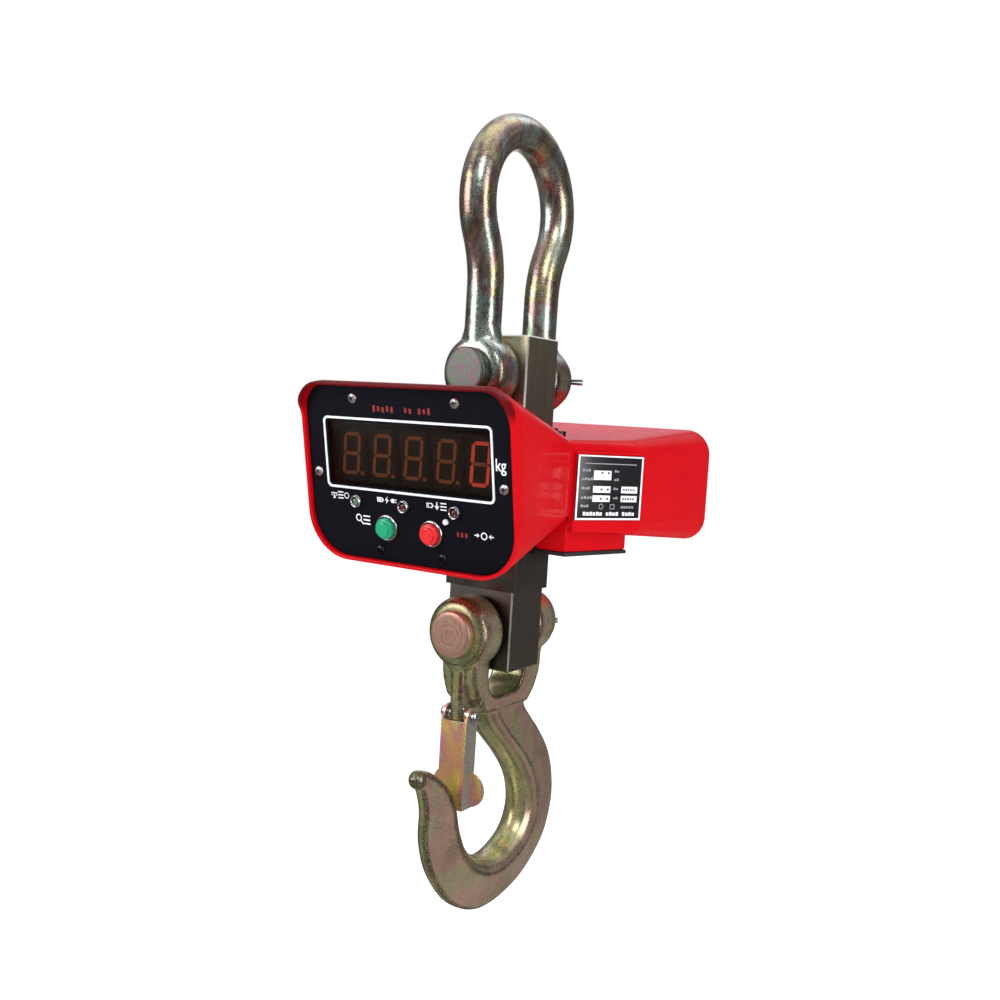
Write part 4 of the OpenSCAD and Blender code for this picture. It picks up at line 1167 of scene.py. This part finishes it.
# a black disc at the bottom of the upper screws' crosses: painted shade in the recesses
for u, v in PANEL_SCREWS[:4]:
    screws.append(lathe("dark_grain_and_recess_shade", [(0, 0.75), (2.4, 0.75), (2.4, 0.4), (0, 0.4)], on_panel(u, v), 20))
    screws[-1].data.materials.append(black_plastic)
put(join("panel_screw_set", screws), "scale", None, "chrome", "panel_screws")


def dome(r, low, rise, steps):
    """Half profile of a round rod that ends in a half ball."""
    ball = [polar(r, math.radians(90 * k / steps), 0, rise) for k in range(steps)]
    return [(0, low), (r, low)] + ball + [(0, rise + r)]


def ring_set(name, node, spots, outline, radius, sides, angle):
    """One chrome ring round each spot on the panel, from its outline of (radius, height)."""
    outline = soft_flat(outline, radius, 3, closed=True)
    rings = [lathe("ring", outline, on_panel(u, v), sides, loop=True) for u, v in spots]
    put(join(name, rings), "scale", chrome, "chrome", node, angle=angle)


ring_set("lamp_bezels", "led_bezels", LAMPS,
         [(3.55, -7), (3.55, 0.03), (4.8, 0.03), (4.75, 1.0), (4.0, 3.0), (3.5, 2.9), (2.65, 1.2), (2.65, -7)],
         0.35, 32, 34)
for (u, v), node, lens, slot in zip(LAMPS, ("stable_led", "charge_led", "low_battery_led"),
                                    (lens_clear, lens_red, lens_red), ("clear_led", "red_led", "red_led")):
    put(lathe(node + "_lens", dome(2.5, -6, 0.4, 8), on_panel(u, v), 28), "scale", lens, slot, node)
# the receiver window's shape, finished white: a painted glint on the panel
eye = lathe("receiver_window_painted_glint", dome(2, -5, 0.6, 6), on_panel(31.5, -41.2), 28)
put(eye, "scale", white_print, "white_line", "ir_receiver")


def button(node, body, u, v, material, slot):
    profile = soft_flat([(0, -4), (7.3, -4), (7.3, 4.3), (6.7, 4.9), (5.5, 5.1), (5.3, 6.8), (4.7, 7.2),
                         (0, 7.15)], 0.35, 3)
    put(lathe(node + "_cap", profile, on_panel(u, v), 48), body, material, slot, node, angle=50)


button("view_button", "view_key", *BUTTONS[0], green_cap, "green_cap")
button("zero_button", "zero_key", *BUTTONS[1], red_cap, "red_cap")
ring_set("button_ring_set", "button_rings", BUTTONS,
         [(7.62, -13), (8.0, -13), (8.0, 0.03), (9.5, 0.03), (9.45, 1.0), (8.8, 2.0), (8.0, 2.05), (7.62, 1.5)],
         0.3, 48, 50)


# --- rating plate on the flank ---
def nameplate_piece():
    sheet = prism("rating_plate", rect(1.0, -41, 64.0, 8), PLATE_LOW, PLATE_HIGH, on_flare())
    bevel(sheet, 0.35, 2)
    put(sheet, "scale", plate_film, "nameplate_film", "nameplate")
    face = on_flare(PLATE_HIGH)
    white = [rect(*box) for box in (
        (1.4, 6.6, 63.6, 7.7), (1.4, -40.7, 63.6, -39.3), (1.4, -39.3, 2.9, 6.6), (62.1, -39.3, 63.6, 6.6),
        (16.5, -10.6, 33, -3.6), (16.5, -20.2, 33, -15.2), (16.5, -27.0, 33, -22.2), (43.5, -20.2, 59, -15.2),
        (43.5, -27.0, 59, -22.2))]
    printed("plate_boxes", white, face, "scale", white_print, "white_line")
    grey = [rect(8, 1.2, 57, 1.9)]
    for row, y in enumerate((-4.6, -11.0, -17.9, -24.9, -31.2)):
        grey += [rect(6 + 2.6 * k, y, 7.9 + 2.6 * k, y + 2.0 - 0.5 * ((k + row) % 2))
                 for k in range(3 + row % 2)]
        if row < 4:
            grey += [rect(36 + 2.4 * k, y, 37.8 + 2.4 * k, y + 1.8 - 0.5 * ((k + row) % 2)) for k in range(2)]
    grey += ring_of(25, -30.6, 2.2, 0.6, 14) + frame_of(33.5, -32.6, 38, -28.8, 0.6)
    grey += [rect(44 + 2.6 * k, -31.8, 45.9 + 2.6 * k, -30.0) for k in range(5)]
    foot = [rect(8.5 + 3.1 * k, -37.4, 10.9 + 3.1 * k, -34.6 - 0.4 * (k % 2)) for k in range(16)
            if k not in (6, 11)]
    dark = [rect(17.5 + 3 * k, y, 19.3 + 3 * k, y + 1.4) for y in (-6.0, -18.4, -25.4) for k in (2, 4)]
    dark += [rect(45 + 2.4 * k, y, 46.6 + 2.4 * k, y + 1.3) for y in (-18.3, -25.2) for k in range(5)]
    printed("plate_rows", grey, face, "scale", grey_print, "white_line")
    printed("plate_foot_row", foot, face, "scale", white_print, "white_line")
    printed("plate_box_marks", dark, face, "scale", plate_film, "nameplate_film", 0.05, 0.11)


nameplate_piece()


# --- latch, its pin and spring ---
mark_flanks(small("latch", "latch_body", latch_zinc, "pin_zinc", 0.55, 3, 40, "latch_pressed"))


def latch_pin_piece():
    half = [(0, 16.1), (3.0, 16.0), (4.1, 15.6), (4.6, 14.8), (4.6, 13.3), (4.4, 13.15), (3.0, 13.1),
            (3.0, 0)]
    profile = half + [(r, -h) for r, h in half[::-1]]
    obj = lathe("latch_rivet", profile, along_x(LATCH_Y, LATCH_Z), 40)
    put(obj, "hook_body", chrome, "chrome", "latch_pin", angle=40)


def spring_piece():
    """Torsion spring: coils on both sides of the lug, a bridge over it and a short foot at each end."""
    r, wire = 4.15, 0.72
    left = [(-8.4 + 2.9 * k / 30, *polar(r, math.radians(190 + 26 * k), LATCH_Y, LATCH_Z)) for k in range(31)]
    right = [(-x, y, z) for x, y, z in left[::-1]]
    foot = (left[0][0], left[0][1] - 0.2, left[0][2] - 3.6)
    path = [foot, (left[0][0], left[0][1], left[0][2] - 1.6)] + left
    path += [(-5.6, left[-1][1] - 2.2, left[-1][2] + 1.6), (-5.6, -42.6, LATCH_Z + 6.6),
             (5.6, -42.6, LATCH_Z + 6.6), (5.6, right[0][1] - 2.2, right[0][2] + 1.6)]
    path += right + [(-foot[0], foot[1] + 0.2, foot[2] + 2), (-foot[0], foot[1], foot[2])]
    obj = tube("latch_coil", soft(path, 1.2, 2), wire, 8)
    put(obj, "hook_body", chrome, "chrome", "latch_spring", angle=60)


latch_pin_piece()
spring_piece()


# --- the rest: CAD shapes with rounded edges and their own finishes ---
for node, body, finish, slot, width, *steps in (
        ("top_seal", "scale", rubber, "black_rubber", 0.8),
        ("bottom_collar", "scale", cell_steel, "cell_steel", 0.4),
        ("bottom_plate", "scale", black_plastic, "black_plastic", 0.5),
        ("cell_clamps", "scale", plain_steel, "plain_steel", 0.3),
        ("clamp_screws", "scale", black_screw, "black_screw", 0.3),
        ("rear_plate", "scale", black_plastic, "black_plastic", 0.3),
        ("battery_door", "door", black_plastic, "black_plastic", 0.45, 3),
        ("door_pull", "door", chrome, "chrome", 0.5, 3),
        ("rear_screws", "scale", screw_steel, "chrome", 0.2),
        ("charge_socket", "scale", black_plastic, "black_plastic", 0.3),
        ("door_hinge_pin", "scale", plain_steel, "plain_steel", 0.25)):
    small(node, body, finish, slot, width, *steps)
# inner pieces keep the CAD's shape
for node, finish in {"gauge_covers": plain_steel, "display_board": board, "main_board": board,
                     "board_parts": black_plastic, "button_switches": black_plastic, "cell_cable": rubber,
                     "ribbon_cable": cable_grey, "battery": battery_case, "battery_terminals": brass,
                     "battery_tray": plain_steel, "battery_cable": cable_red}.items():
    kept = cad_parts[node]
    kept.data.materials.clear()
    kept.data.materials.append(finish)
